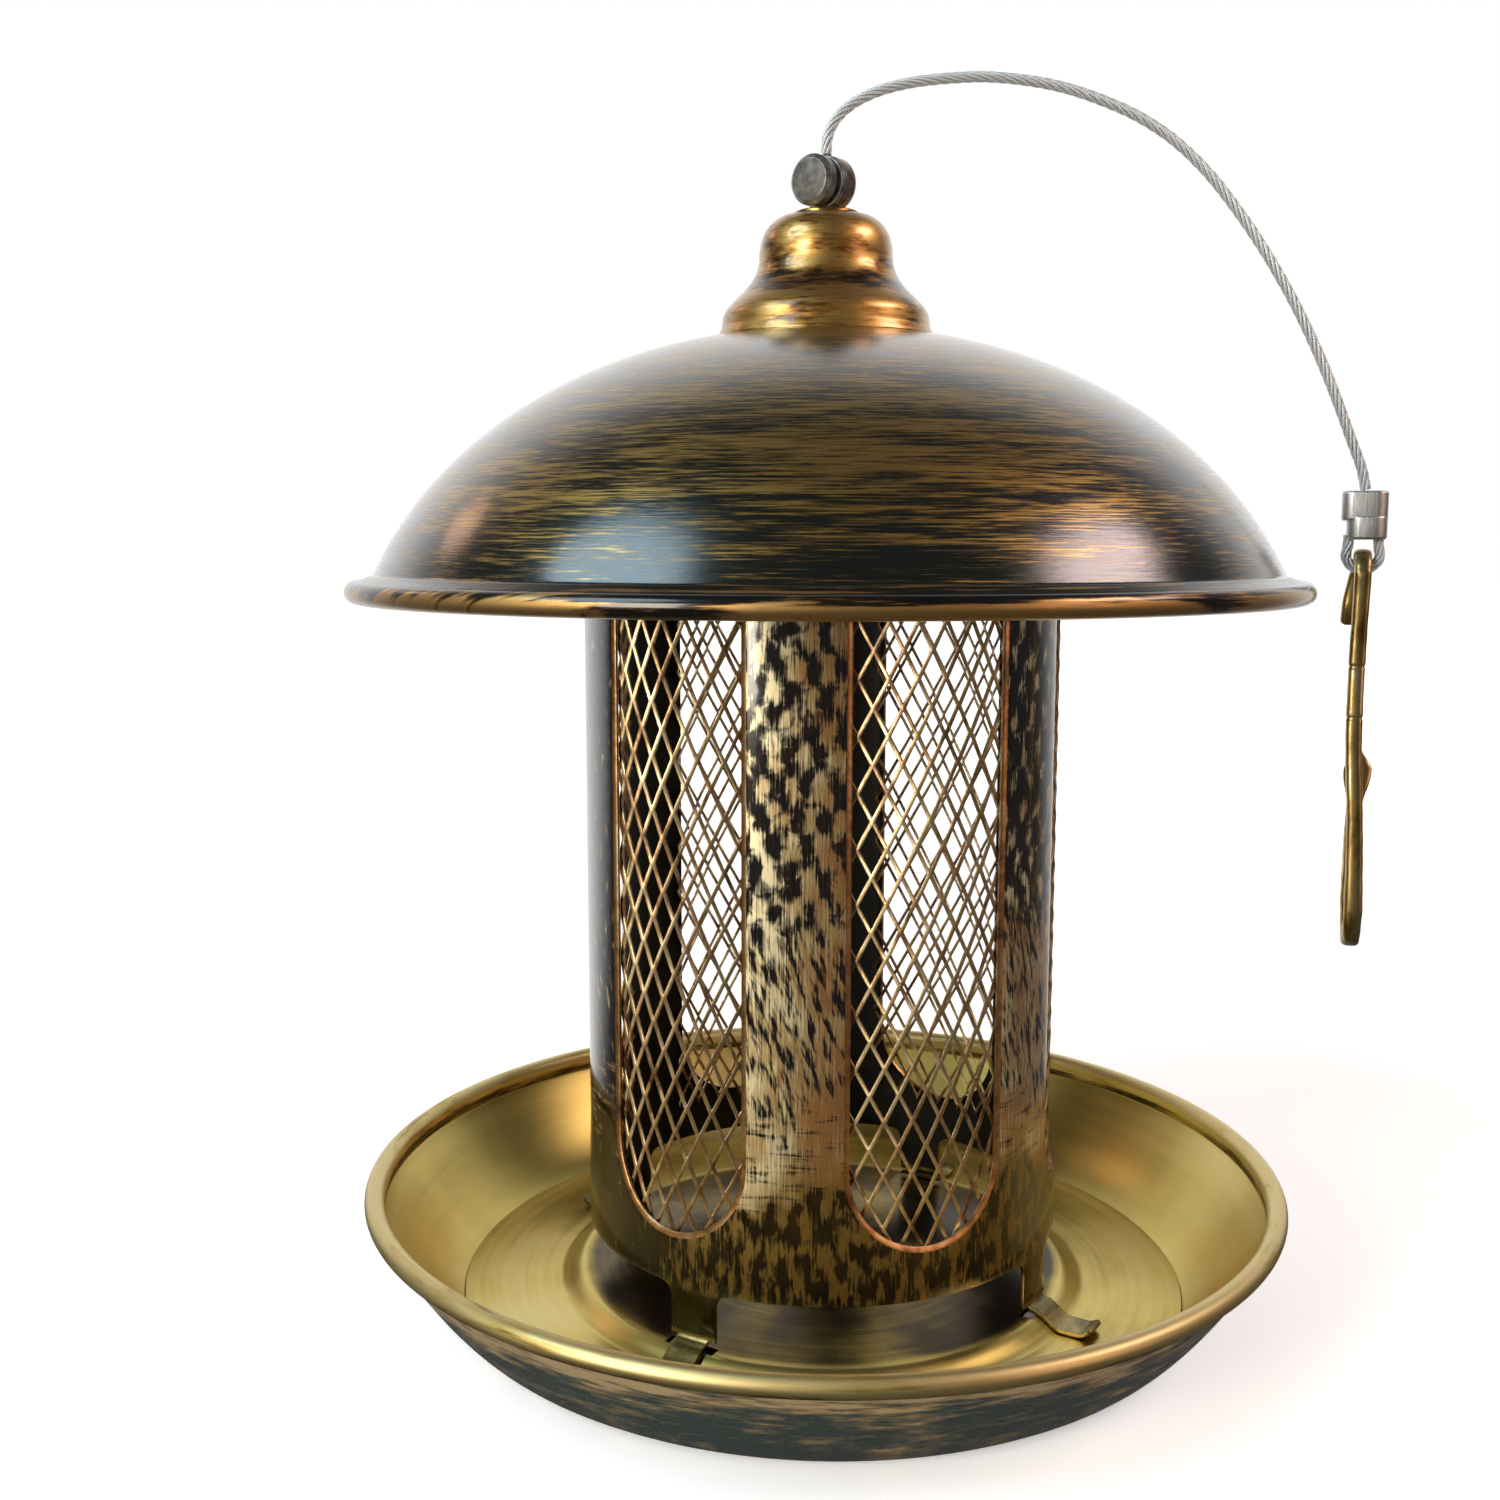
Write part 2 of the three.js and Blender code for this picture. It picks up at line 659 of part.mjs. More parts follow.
function finialCurve() {
  const outline = new THREE.Path();
  const lipTop = finialRadius - finialLipTaper;
  const neckRun = lipTop - finialNeckRadius;
  const neckClimb = finialNeckHeight - finialLip;
  const crownRun = finialNeckRadius - finialTopRadius;
  const crownClimb = finialHeight - finialNeckHeight;
  outline.moveTo(finialRadius, 0);
  outline.lineTo(finialRadius - finialLipTaper * lipBulgeShare, finialLip / 2);
  outline.lineTo(lipTop, finialLip);
  outline.bezierCurveTo(
    lipTop - neckRun * neckCurveShares.leaveRun,
    finialLip + neckClimb * neckCurveShares.leaveClimb,
    finialNeckRadius + neckRun * neckCurveShares.meetRun,
    finialLip + neckClimb * neckCurveShares.meetClimb,
    finialNeckRadius,
    finialNeckHeight,
  );
  outline.bezierCurveTo(
    finialNeckRadius,
    finialNeckHeight + crownClimb * crownCurveShares.leaveClimb,
    finialNeckRadius - crownRun * crownCurveShares.meetRun,
    finialNeckHeight + crownClimb * crownCurveShares.meetClimb,
    finialTopRadius,
    finialHeight,
  );
  return outline.getPoints(4);
}

function makeFinial() {
  const outside = finialCurve().map((p) => [p.x, finialBase + p.y]);
  const inside = outside
    .slice(0, -1)
    .map(([r, z]) => [r - finialSheet, z])
    .reverse();
  const crown = [
    [boltHole, finialTop],
    [boltHole, finialTop - finialSheet],
    [finialTopRadius, finialTop - finialSheet],
  ];
  return revolve([...outside, ...crown, ...inside], finialFacets);
}

// Hollow bolt with a round flange, its washer and its nut under the dome
const flangeBottom = finialTop + seatGap;
const flangeTop = flangeBottom + flangeHeight;
const washerTop = domeCentre + ellipseHeight(washerRadius, innerHalfWidth, innerRise) - seatGap;
const nutTop = washerTop - washerThickness - seatGap;
const boltBottom = nutTop - nutThickness - boltEnd;

function makeHollowBolt() {
  const bore = boltRadius - boltWall;
  const outline = [
    [bore, boltBottom],
    [boltRadius, boltBottom],
    [boltRadius, flangeBottom],
    [flangeRadius, flangeBottom],
    [flangeRadius, flangeBottom + flangeHeight / 2],
    [flangeRadius - flangeHeight / 2, flangeTop],
    [bore, flangeTop],
  ];
  return revolve(outline, smallFacets);
}

function makeWasher() {
  const outline = [
    [boltHole, washerTop - washerThickness],
    [washerRadius, washerTop - washerThickness],
    [washerRadius, washerTop],
    [boltHole, washerTop],
  ];
  return revolve(outline, smallFacets);
}

function makeNut() {
  const hexagon = new THREE.Shape(arcPoints(0, 0, nutFlats / Math.sqrt(3), 0, 300, 5));
  hexagon.holes.push(new THREE.Path(arcPoints(0, 0, boltRadius + seatGap, 345, 0, 23)));
  const geometry = new THREE.ExtrudeGeometry(hexagon, { depth: nutThickness, bevelEnabled: false });
  geometry.translate(0, 0, nutTop - nutThickness);
  return geometry;
}

// Lock: a housing with a cross hole for the cable, and a sprung button whose slotted stem grips it.
// Drawn about its own axis: local Z points out of the button's face, and local Y points up.
const lockCentre = flangeTop + seatGap + housingRadius;
const cableHoleRadius = cableDiameter / 2 + seatGap;
const housingRear = housingFront - housingLength;
const boreEnd = housingRear + housingWall;

function crossHole(from, to, radius, length) {
  const outline = new THREE.Shape();
  outline.absarc(0, to, radius, 0, Math.PI);
  outline.absarc(0, from, radius, Math.PI, 2 * Math.PI);
  const tool = new THREE.ExtrudeGeometry(outline, { depth: length, bevelEnabled: false, curveSegments: 8 });
  tool.translate(0, 0, -length / 2);
  tool.rotateX(Math.PI / 2);
  return tool;
}

function makeHousing() {
  const bore = stemRadius + seatGap;
  const edge = housingWall / 2;
  const outline = [
    [0, housingRear],
    [housingRadius - 2 * edge, housingRear],
    [housingRadius, housingRear + 2 * edge],
    [housingRadius, housingFront - edge],
    [housingRadius - edge, housingFront],
    [bore, housingFront],
    [bore, boreEnd],
    [0, boreEnd],
  ];
  const body = toSolid(revolve(outline, smallFacets));
  const hole = crossHole(0, 0, cableHoleRadius, 2 * (housingRadius + cutOverrun));
  return toGeometry(body.subtract(toSolid(hole)));
}

function makeButton() {
  const capRear = housingFront + buttonTravel + seatGap;
  const capFront = capRear + buttonLength;
  const outline = [
    [0, -stemTail],
    [stemRadius, -stemTail],
    [stemRadius, capRear],
    [buttonRadius - buttonChamfer / 3, capRear],
    [buttonRadius, capRear + buttonChamfer / 3],
    [buttonRadius, capFront - buttonChamfer],
    [buttonRadius - buttonChamfer, capFront],
    [0, capFront],
  ];
  const body = toSolid(revolve(outline, smallFacets));
  const slot = crossHole(0, buttonTravel, cableHoleRadius, 2 * (stemRadius + cutOverrun));
  return toGeometry(body.subtract(toSolid(slot)));
}

function makeLockSpring() {
  const radius = stemRadius - springWire;
  const from = boreEnd + springWire / 2 + seatGap;
  const to = -stemTail - springWire / 2 - seatGap / 2;
  const route = [];
  const perTurn = 8;
  for (let i = 0; i <= springTurns * perTurn; i += 1) {
    const angle = (2 * Math.PI * i) / perTurn;
    const climb = from + ((to - from) * i) / (springTurns * perTurn);
    route.push(new THREE.Vector3(radius * Math.cos(angle), radius * Math.sin(angle), climb));
  }
  const curve = new THREE.CatmullRomCurve3(route);
  const section = new THREE.Shape(arcPoints(0, 0, springWire / 2, 0, 288, 4));
  const steps = springTurns * perTurn;
  return new THREE.ExtrudeGeometry(section, { steps, bevelEnabled: false, extrudePath: curve });
}

// Free cable: up out of the lock, over in a stiff arc, and down into the ferrule
const lockTop = lockCentre + housingRadius;
const cableStart = lockTop + seatGap;

function makeHangerCable() {
  const route = cableRoute.map(([x, z]) => new THREE.Vector3(x, 0, cableStart + z));
  return cableTube(route, cableDiameter, 2);
}

function makeInnerCable() {
  const radius = cableDiameter / 2;
  return revolve([[0, cableEnd], [radius, cableEnd], [radius, lockTop], [0, lockTop]], smallFacets);
}

const [ferruleX, cableDrop] = cableRoute[cableRoute.length - 1];
const ferruleHead = cableStart + cableDrop - seatGap;
const ferruleFoot = ferruleHead - ferruleHeight;
const loopBottom = ferruleFoot - loopHeight + cableDiameter / 2;

// Ferrule: an oval sleeve crimped on both runs of the cable, with a swelled band at its foot
function makeFerrule() {
  const sleeve = new THREE.ExtrudeGeometry(stadium(ferruleWidth, ferruleDepth), {
    depth: ferruleHeight - ferruleBandHeight / 2,
    bevelEnabled: false,
    curveSegments: 6,
  });
  sleeve.translate(0, 0, ferruleHead - ferruleHeight + ferruleBandHeight / 2);
  const band = new THREE.ExtrudeGeometry(stadium(ferruleBandWidth, ferruleBandDepth), {
    depth: ferruleBandHeight,
    bevelEnabled: false,
    curveSegments: 6,
  });
  band.translate(ferruleBandShift, 0, ferruleFoot);
  return toGeometry(toSolid(sleeve).add(toSolid(band)));
}

function makeCableLoop() {
  const reach = (loopWidth - cableDiameter) / 2;
  const bellyHeight = loopBottom + reach;
  const legTop = ferruleFoot - seatGap;
  const straight = (legTop - bellyHeight) / 3;
  const belly = arcPoints(0, bellyHeight, reach, 190, 350, 8);
  const route = [
    new THREE.Vector3(-loopNeck, 0, legTop),
    new THREE.Vector3(-loopNeck, 0, legTop - straight),
    ...belly.map((p) => new THREE.Vector3(p.x, 0, p.y)),
    new THREE.Vector3(loopNeck, 0, legTop - straight),
    new THREE.Vector3(loopNeck, 0, legTop),
  ];
  return cableTube(route, cableDiameter, 15);
}

// S-hook: a flattened rod, curled small at the top and wide at the bottom, with a leaf-shaped tip.
// Each station is [back, up, sideways, half width, half thickness].
function hookStations() {
  const halfWidth = hookWidth / 2;
  const halfThickness = hookThickness / 2;
  const crown = loopBottom + cableDiameter / 2 + seatGap + halfThickness;
  const upperCentre = crown - upperCurlRadius;
  const lowerCentre = crown + halfThickness - hookHeight + halfThickness + lowerCurlRadius;
  const lowerMiddle = lowerCurlRadius - upperCurlRadius - shankLean;
  const legBack = lowerMiddle + lowerCurlRadius;
  const upperTip = upperCentre + upperCurlRadius - upperTipLength;
  const stations = [
    [
      upperCurlRadius + halfThickness / 2,
      upperTip,
      -upperTipSway,
      halfWidth,
      halfThickness * upperTipShares.thickness,
    ],
    [
      upperCurlRadius,
      (upperTip + upperCentre) / 2,
      -upperTipSway * upperTipShares.sway,
      halfWidth,
      halfThickness,
    ],
  ];
  arcPoints(0, upperCentre, upperCurlRadius, 0, 180, 8).forEach((p, i) => {
    const swayShare = Math.max(0, 1 - i / 3) ** 2 / 2;
    stations.push([p.x, p.y, -upperTipSway * swayShare, halfWidth, halfThickness]);
  });
  for (const share of shankShares) {
    const back = -upperCurlRadius - shankLean * share;
    stations.push([back, upperCentre + (lowerCentre - upperCentre) * share, 0, halfWidth, halfThickness]);
  }
  for (const p of arcPoints(lowerMiddle, lowerCentre, lowerCurlRadius, 180, 360, 10)) {
    stations.push([p.x, p.y, 0, halfWidth * curlSwellShare, halfThickness]);
  }
  for (const { up, pinch, sway, wide, thick } of lowerTipShares) {
    stations.push([
      legBack - lowerTipPinch * pinch,
      lowerCentre + lowerTipLength * up,
      lowerTipSway * sway,
      halfWidth * wide,
      halfThickness * thick,
    ]);
  }
  return stations;
}

function makeHook() {
  const stations = hookStations();
  const positions = [];
  const triangles = [];
  stations.forEach(([back, up, sideways, halfWidth, halfThickness], i) => {
    const before = stations[Math.max(i - 1, 0)];
    const after = stations[Math.min(i + 1, stations.length - 1)];
    const along = new THREE.Vector2(after[0] - before[0], after[1] - before[1]).normalize();
    for (let k = 0; k < cableSides; k += 1) {
      const angle = (2 * Math.PI * k) / cableSides;
      const out = halfThickness * Math.sin(angle);
      const x = sideways + halfWidth * Math.cos(angle);
      positions.push(x, back - along.y * out, up + along.x * out);
    }
  });
  for (let i = 1; i < stations.length; i += 1) {
    for (let k = 0; k < cableSides; k += 1) {
      const a = (i - 1) * cableSides + k;
      const b = (i - 1) * cableSides + ((k + 1) % cableSides);
      triangles.push(a, b + cableSides, b, a, a + cableSides, b + cableSides);
    }
  }
  const last = (stations.length - 1) * cableSides;
  for (let k = 2; k < cableSides; k += 1) {
    triangles.push(0, k - 1, k);
    triangles.push(last, last + k, last + k - 1);
  }
  const geometry = new THREE.BufferGeometry();
  geometry.setAttribute("position", new THREE.Float32BufferAttribute(positions, 3));
  geometry.setIndex(triangles);
  return geometry;
}

addPiece("seed_tray", makeTray(), "dishBrass");
addPiece("shell", makeShell(), "agedShell");
for (let i = 0; i < windowCount; i += 1) {
  addPiece(`mesh_panel_${i + 1}`, makePanel(windowBearing + (360 / windowCount) * i), "strandCopper");
}
addPiece("crossbar", makeCrossbar(), "plainSteel");
addPiece("crossbar_rivet_1", makeRivet(0), "plainSteel");
addPiece("crossbar_rivet_2", makeRivet(180), "plainSteel");
addPiece("cable_stop", makeCableStop(), "crimpAluminium");
addPiece("inner_cable", makeInnerCable(), "wireRope");

addPiece("roof_dome", makeRoof(), "agedRoof");
addPiece("finial_bell", makeFinial(), "agedFinial");
addPiece("hollow_bolt", makeHollowBolt(), "goldWasher");
addPiece("dome_washer", makeWasher(), "plainSteel");
addPiece("dome_nut", makeNut(), "plainSteel");

const lock = new THREE.Group();
lock.position.set(0, 0, lockCentre);
lock.rotation.set(Math.PI / 2, 0, radians(lockBearing), "ZYX");
feeder.add(lock);
addPiece("lock_housing", makeHousing(), "gunmetal", lock);
addPiece("lock_button", makeButton(), "gunmetal", lock);
addPiece("lock_spring", makeLockSpring(), "plainSteel", lock);

addPiece("hanger_cable", makeHangerCable(), "wireRope");
const cableEndGroup = new THREE.Group();
cableEndGroup.position.set(ferruleX, 0, 0);
cableEndGroup.rotation.set(0, 0, -radians(endBearing));
feeder.add(cableEndGroup);
addPiece("ferrule", makeFerrule(), "crimpAluminium", cableEndGroup);
addPiece("cable_loop", makeCableLoop(), "wireRope", cableEndGroup);
addPiece("s_hook", makeHook(), "agedHook", cableEndGroup);

export default feeder;
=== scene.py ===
import math
from functools import partial
import bmesh
import bpy
from mathutils import Matrix, Vector
from mathutils.geometry import delaunay_2d_cdt


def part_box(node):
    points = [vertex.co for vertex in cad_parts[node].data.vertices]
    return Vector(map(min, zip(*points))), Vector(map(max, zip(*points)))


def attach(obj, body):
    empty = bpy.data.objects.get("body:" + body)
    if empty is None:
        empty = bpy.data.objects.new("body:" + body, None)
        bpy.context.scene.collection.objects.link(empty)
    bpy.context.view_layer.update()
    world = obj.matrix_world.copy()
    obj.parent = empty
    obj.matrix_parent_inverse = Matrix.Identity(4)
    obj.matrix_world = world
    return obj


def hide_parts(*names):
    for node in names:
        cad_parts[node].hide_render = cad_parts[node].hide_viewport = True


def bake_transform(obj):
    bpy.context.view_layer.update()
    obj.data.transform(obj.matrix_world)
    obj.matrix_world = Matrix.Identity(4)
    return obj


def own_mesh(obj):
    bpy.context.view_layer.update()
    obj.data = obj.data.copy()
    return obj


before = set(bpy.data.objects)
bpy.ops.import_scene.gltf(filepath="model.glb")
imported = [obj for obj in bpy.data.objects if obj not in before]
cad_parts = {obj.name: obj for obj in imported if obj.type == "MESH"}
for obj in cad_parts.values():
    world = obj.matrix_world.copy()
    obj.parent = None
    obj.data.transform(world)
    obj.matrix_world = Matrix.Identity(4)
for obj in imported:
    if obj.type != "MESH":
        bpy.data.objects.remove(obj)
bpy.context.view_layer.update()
mm = 0.001  # lengths below are in millimetres, and turned into metres where a mesh is made
print("frame loaded:", len(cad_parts), "nodes")


# Helpers for materials

smooth = {"interpolation_type": "SMOOTHSTEP"}


def hexColour(text):
    # sRGB hex to the linear colour that shaders work in
    channels = [int(text[i:i + 2], 16) / 255 for i in (1, 3, 5)]
    linear = [c / 12.92 if c <= 0.04045 else ((c + 0.055) / 1.055) ** 2.4 for c in channels]
    return (*linear, 1.0)


def addNode(tree, kind, *inputs, stops=(), **settings):
    # One node. Inputs go to its sockets in order, or by name or number out of a dictionary. Each is a
    # value or what feeds the socket: an output, or a node for its first output.
    node = tree.nodes.new("ShaderNode" + kind)
    for key, value in settings.items():
        setattr(node, key, value)
    sockets = {}
    for number, value in enumerate(inputs):
        sockets.update(value if isinstance(value, dict) else {number: value})
    for key, value in sockets.items():
        if isinstance(value, bpy.types.Node):
            value = value.outputs[0]
        if isinstance(value, bpy.types.NodeSocket):
            tree.links.new(value, node.inputs[key])
        else:
            node.inputs[key].default_value = value
    if stops:
        elements = node.color_ramp.elements
        while len(elements) < len(stops):
            elements.new(0.5)
        for element, (position, colour) in zip(elements, stops):
            element.position = position
            element.color = hexColour(colour)
    return node


def startNodes(owner):
    # empties the node tree of a material or the world; gives addNode bound to it
    owner.use_nodes = True
    owner.node_tree.nodes.clear()
    return partial(addNode, owner.node_tree)


def startMaterial(name):
    material = bpy.data.materials.new(name)
    return material, startNodes(material)


def axisPlace(add):
    # where a point lies about the Z axis: [x, y, 0], its radius and its height, in metres
    x, y, height = add("SeparateXYZ", add("TexCoord").outputs["Object"]).outputs
    flat = add("CombineXYZ", x, y)
    return flat, add("VectorMath", flat, operation="LENGTH").outputs["Value"], height


def roundCoordinates(add, around, width, climb=0.0, climbEnd=180):
    # Coordinates that run round the Z axis without a seam: `around` is how many features fit in one
    # radian, and `width` their width in mm, outwards and downwards. `climb` slants them as far as the
    # bearing climbEnd, with a seam at the back.
    flat, radius, height = axisPlace(add)
    unit = add("VectorMath", flat, operation="NORMALIZE")
    wound = add("VectorMath", unit, {"Scale": around}, operation="SCALE")
    x, y, _ = add("SeparateXYZ", wound).outputs
    fall = add("Math", radius, height, operation="SUBTRACT")
    lengthwise = add("Math", fall, 1000 / width, operation="MULTIPLY")
    if climb:
        front = add("Math", y, -1.0, operation="MULTIPLY")
        bearing = add("Math", x, front, operation="ARCTAN2")
        bearing = add("Math", bearing, math.radians(climbEnd), 0.2, operation="SMOOTH_MIN")
        lengthwise = add("Math", bearing, climb, lengthwise, operation="MULTIPLY_ADD")
    return add("CombineXYZ", x, y, lengthwise)


# Brushed lacquer on steel: dark patina brushed through to a bronze or gold ground, under clear coat
# The ground is a metallic lacquer that takes the lamps' colour; the patina is near black and only its
# clear coat shines. Brush marks run round the axis, as the part turned in the lathe. A look holds:
# "streaks" and "broad", how many marks fit in one radian and their width, and the broad ones' share;
# "worn", the value where patina ends and where bare ground starts; "metal" and "rough", of the patina
# and of the ground; "coat", its weight and roughness; "heavierPatinaAndShade", where the surface gets
# darker: heavier patina on most parts, painted shade on the dish's plateau under the shell.

def makeBrushedLacquer(name, look):
    material, add = startMaterial(name)
    climb, climbEnd = look.get("climb", (0.0, 180))
    broadAround, broadWidth, broadShare = look["broad"]
    fine = add("TexNoise", {
        "Vector": roundCoordinates(add, *look["streaks"], climb, climbEnd),
        "Scale": 1.0, "Detail": 5.0, "Roughness": 0.62,
    })
    wide = add("TexNoise", {
        "Vector": roundCoordinates(add, broadAround, broadWidth, climb / 4, climbEnd),
        "Scale": 1.0, "Detail": 3.0, "Roughness": 0.5,
    })
    brushed = add("Mix", {0: broadShare, 2: fine, 3: wide})
    for axis, start, end, amount in look.get("heavierPatinaAndShade", []):
        along = axisPlace(add)[1 if axis == "radius" else 2]
        extra = add("MapRange", along, start * mm, end * mm, 0.0, amount, **smooth)
        brushed = add("Math", brushed, extra, operation="SUBTRACT")
    worn = add("MapRange", brushed, *look["worn"], **smooth)
    bump = add("Bump", {"Height": fine, "Strength": look["bump"], "Distance": 0.0002})
    coat, coatRoughness = look["coat"]
    stops = list(zip((0.0, 0.35, 0.75, 1.0), look["colours"]))
    sockets = {
        "Base Color": add("ValToRGB", worn, stops=stops),
        "Metallic": add("MapRange", worn, 0.0, 1.0, *look["metal"]),
        "Roughness": add("MapRange", worn, 0.0, 1.0, *look["rough"]),
        "Coat Weight": coat, "Coat Roughness": coatRoughness, "Coat IOR": 1.5, "Normal": bump,
    }
    if look.get("coatMarks"):  # the coat follows the brush marks
        sockets["Coat Normal"] = bump
    add("OutputMaterial", add("BsdfPrincipled", sockets))
    return material


def makeGrainyMetal(name, look):
    # Bare or plated metal with one grain in its tint and its surface: marks "turning" round the axis, or
    # a "grain" with so many features per metre along each axis
    material, add = startMaterial(name)
    if "turning" in look:
        place = roundCoordinates(add, *look["turning"])
    else:
        place = add("TexCoord").outputs["Object"]
        place = add("VectorMath", place, look["grain"], operation="MULTIPLY")
    noise = add("TexNoise", {"Vector": place, "Scale": 1.0, "Detail": look["detail"]})
    strength, depth = look["bump"]
    add("OutputMaterial", add("BsdfPrincipled", {
        "Base Color": add("ValToRGB", noise, stops=look["stops"]),
        "Metallic": look["metallic"], "Roughness": look["roughness"],
        "Normal": add("Bump", {"Height": noise, "Strength": strength, "Distance": depth}),
    }))
    return material


# Helpers for meshes

def linkObject(name, data):
    made = bpy.data.objects.new(name, data)
    bpy.context.scene.collection.objects.link(made)
    return made


def shadeMesh(mesh, sharpAngle):
    mesh.shade_smooth()
    mesh.set_sharp_from_angle(angle=math.radians(sharpAngle))


def finishMesh(name, vertices, faces, material, body, sharpAngle=35, weld=0.0):
    mesh = bpy.data.meshes.new(name)
    mesh.from_pydata([tuple(c * mm for c in v) for v in vertices], [], faces)
    mesh.validate()
    edit = bmesh.new()
    edit.from_mesh(mesh)
    if weld:
        bmesh.ops.remove_doubles(edit, verts=edit.verts, dist=weld * mm)
    bmesh.ops.recalc_face_normals(edit, faces=edit.faces)
    edit.to_mesh(mesh)
    edit.free()
    shadeMesh(mesh, sharpAngle)
    mesh.materials.append(material)
    piece = linkObject(name, mesh)
    if body:
        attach(piece, body)
    return piece


def applyModifiers(piece):
    # the finished mesh takes the place of the modifiers that made it
    graph = bpy.context.evaluated_depsgraph_get()
    done = bpy.data.meshes.new_from_object(piece.evaluated_get(graph))
    piece.modifiers.clear()
    piece.data = done


def cutAway(piece, cutter):
    cut = piece.modifiers.new("cut", "BOOLEAN")
    cut.operation, cut.solver, cut.object = "DIFFERENCE", "EXACT", cutter
    applyModifiers(piece)
    bpy.data.objects.remove(cutter)


def thickenSheet(piece, thickness, rounding, bevelAngle, even):
    # gives a bare surface its thickness and breaks the cut edges
    thicken = piece.modifiers.new("thickness", "SOLIDIFY")
    thicken.thickness, thicken.offset, thicken.use_even_offset = thickness * mm, 0, even
    soften = piece.modifiers.new("edges", "BEVEL")
    soften.width, soften.segments, soften.limit_method = rounding * mm, 2, "ANGLE"
    soften.angle_limit = math.radians(bevelAngle)
    applyModifiers(piece)
    shadeMesh(piece.data, 50)


def paintZones(piece, materials, chooseZone):
    # further materials by face; chooseZone gets the face's centre in mm and its normal
    for material in materials:
        piece.data.materials.append(material)
    for polygon in piece.data.polygons:
        polygon.material_index = chooseZone(polygon.center / mm, polygon.normal)


def outwardness(centre, normal):
    # 1 on a face that looks away from the axis, -1 on one that looks at it
    away = Vector((centre.x, centre.y, 0))
    return away.normalized().dot(normal) if away.length > 1e-6 else 0


def axisPoint(radius, angle, z):
    # bearings run from the front to the right
    return Vector((radius * math.sin(angle), -radius * math.cos(angle), z))


def ringAngles(count, offset=0):
    return [2 * math.pi * (k + offset) / count for k in range(count)]


def arcOf(cx, cz, radius, fromDeg, toDeg, steps):
    # points of an arc, with both ends
    angles = [math.radians(fromDeg + (toDeg - fromDeg) * k / steps) for k in range(steps + 1)]
    return [(cx + radius * math.cos(a), cz + radius * math.sin(a)) for a in angles]


def smoothStep(share):
    return share * share * (3 - 2 * share)


def softenCorners(profile, radius, steps=4):
    # rounds each corner of a closed [r, z] outline that has room for the radius
    softened = []
    count = len(profile)
    for i in range(count):
        before, here, after = (Vector(profile[(i + k) % count]) for k in (-1, 0, 1))
        back, ahead = before - here, after - here
        room = min(back.length, ahead.length) * 0.45
        turn = back.angle(ahead) if back.length > 1e-6 and ahead.length > 1e-6 else math.pi
        if here.x < 0.01 or turn > math.radians(165) or room < 0.02:
            softened.append(tuple(here))
            continue
        reach = min(radius / math.tan(turn / 2), room)
        start, end = here + back.normalized() * reach, here + ahead.normalized() * reach
        for t in (k / steps for k in range(steps + 1)):
            softened.append(tuple(start * (1 - t) ** 2 + here * 2 * t * (1 - t) + end * t ** 2))
    return softened


def turned(name, profile, facets, material, body, placing=None, sharpAngle=35):
    # a closed [r, z] outline turned about Z; points on the axis become one vertex each
    vertices, rings, faces = [], [], []
    for r, z in profile:
        count = facets if r >= 1e-4 else 1
        rings.append([len(vertices) + k % count for k in range(facets)])
        for k in range(count):
            vertices.append(axisPoint(r, 2 * math.pi * k / facets, z))
    for lower, upper in zip(rings, rings[1:] + rings[:1]):
        for k in range(facets):
            corners = [lower[k], lower[(k + 1) % facets], upper[(k + 1) % facets], upper[k]]
            kept = [c for j, c in enumerate(corners) if c != corners[j - 1]]
            if len(kept) > 2:
                faces.append(kept)
    if placing:
        vertices = [placing @ v for v in vertices]
    return finishMesh(name, vertices, faces, material, body, sharpAngle)


def smoothRoute(points, spacing):
    # a Catmull-Rom curve through the points, cut into even steps
    points = [Vector(p) for p in points]
    ends = [2 * points[0] - points[1], *points, 2 * points[-1] - points[-2]]
    dense = []
    for i in range(1, len(ends) - 2):
        a, b, c, d = ends[i - 1:i + 3]
        for t in (k / 24 for k in range(24)):
            dense.append(0.5 * (2 * b + (c - a) * t + (2 * a - 5 * b + 4 * c - d) * t ** 2
                                + (3 * b - a - 3 * c + d) * t ** 3))
    dense.append(points[-1])
    travelled = [0.0]
    for before, after in zip(dense, dense[1:]):
        travelled.append(travelled[-1] + (after - before).length)
    steps = max(2, round(travelled[-1] / spacing))
    route, at = [], 0
    for i in range(steps + 1):
        goal = travelled[-1] * i / steps
        while at < len(travelled) - 2 and travelled[at + 1] < goal:
            at += 1
        share = (goal - travelled[at]) / max(travelled[at + 1] - travelled[at], 1e-9)
        route.append(dense[at].lerp(dense[at + 1], min(share, 1)))
    return route


def directionAt(route, i):
    return (route[min(i + 1, len(route) - 1)] - route[max(i - 1, 0)]).normalized()


def routeFrames(route, firstSide):
    # a side and a normal at each point, carried along without twist
    frames, side = [], Vector(firstSide)
    for i, here in enumerate(route):
        along = directionAt(route, i)
        side = (side - along * side.dot(along)).normalized()
        frames.append((here, side, along.cross(side)))
    return frames


def addRingFaces(faces, first, rings, sides):
    # the skin over a row of rings of points, closed at both ends
    for i in range(rings - 1):
        for k in range(sides):
            a, b = first + i * sides + k, first + i * sides + (k + 1) % sides
            faces.append((a, b, b + sides, a + sides))
    last = first + (rings - 1) * sides
    faces.append([first + k for k in reversed(range(sides))])
    faces.append([last + k for k in range(sides)])


def addTube(vertices, faces, centres, radius, sides):
    # a closed tube round [centre, side, normal] frames
    addRingFaces(faces, len(vertices), len(centres), sides)
    for centre, side, normal in centres:
        for angle in ringAngles(sides):
            vertices.append(centre + (side * math.cos(angle) + normal * math.sin(angle)) * radius)


# Camera

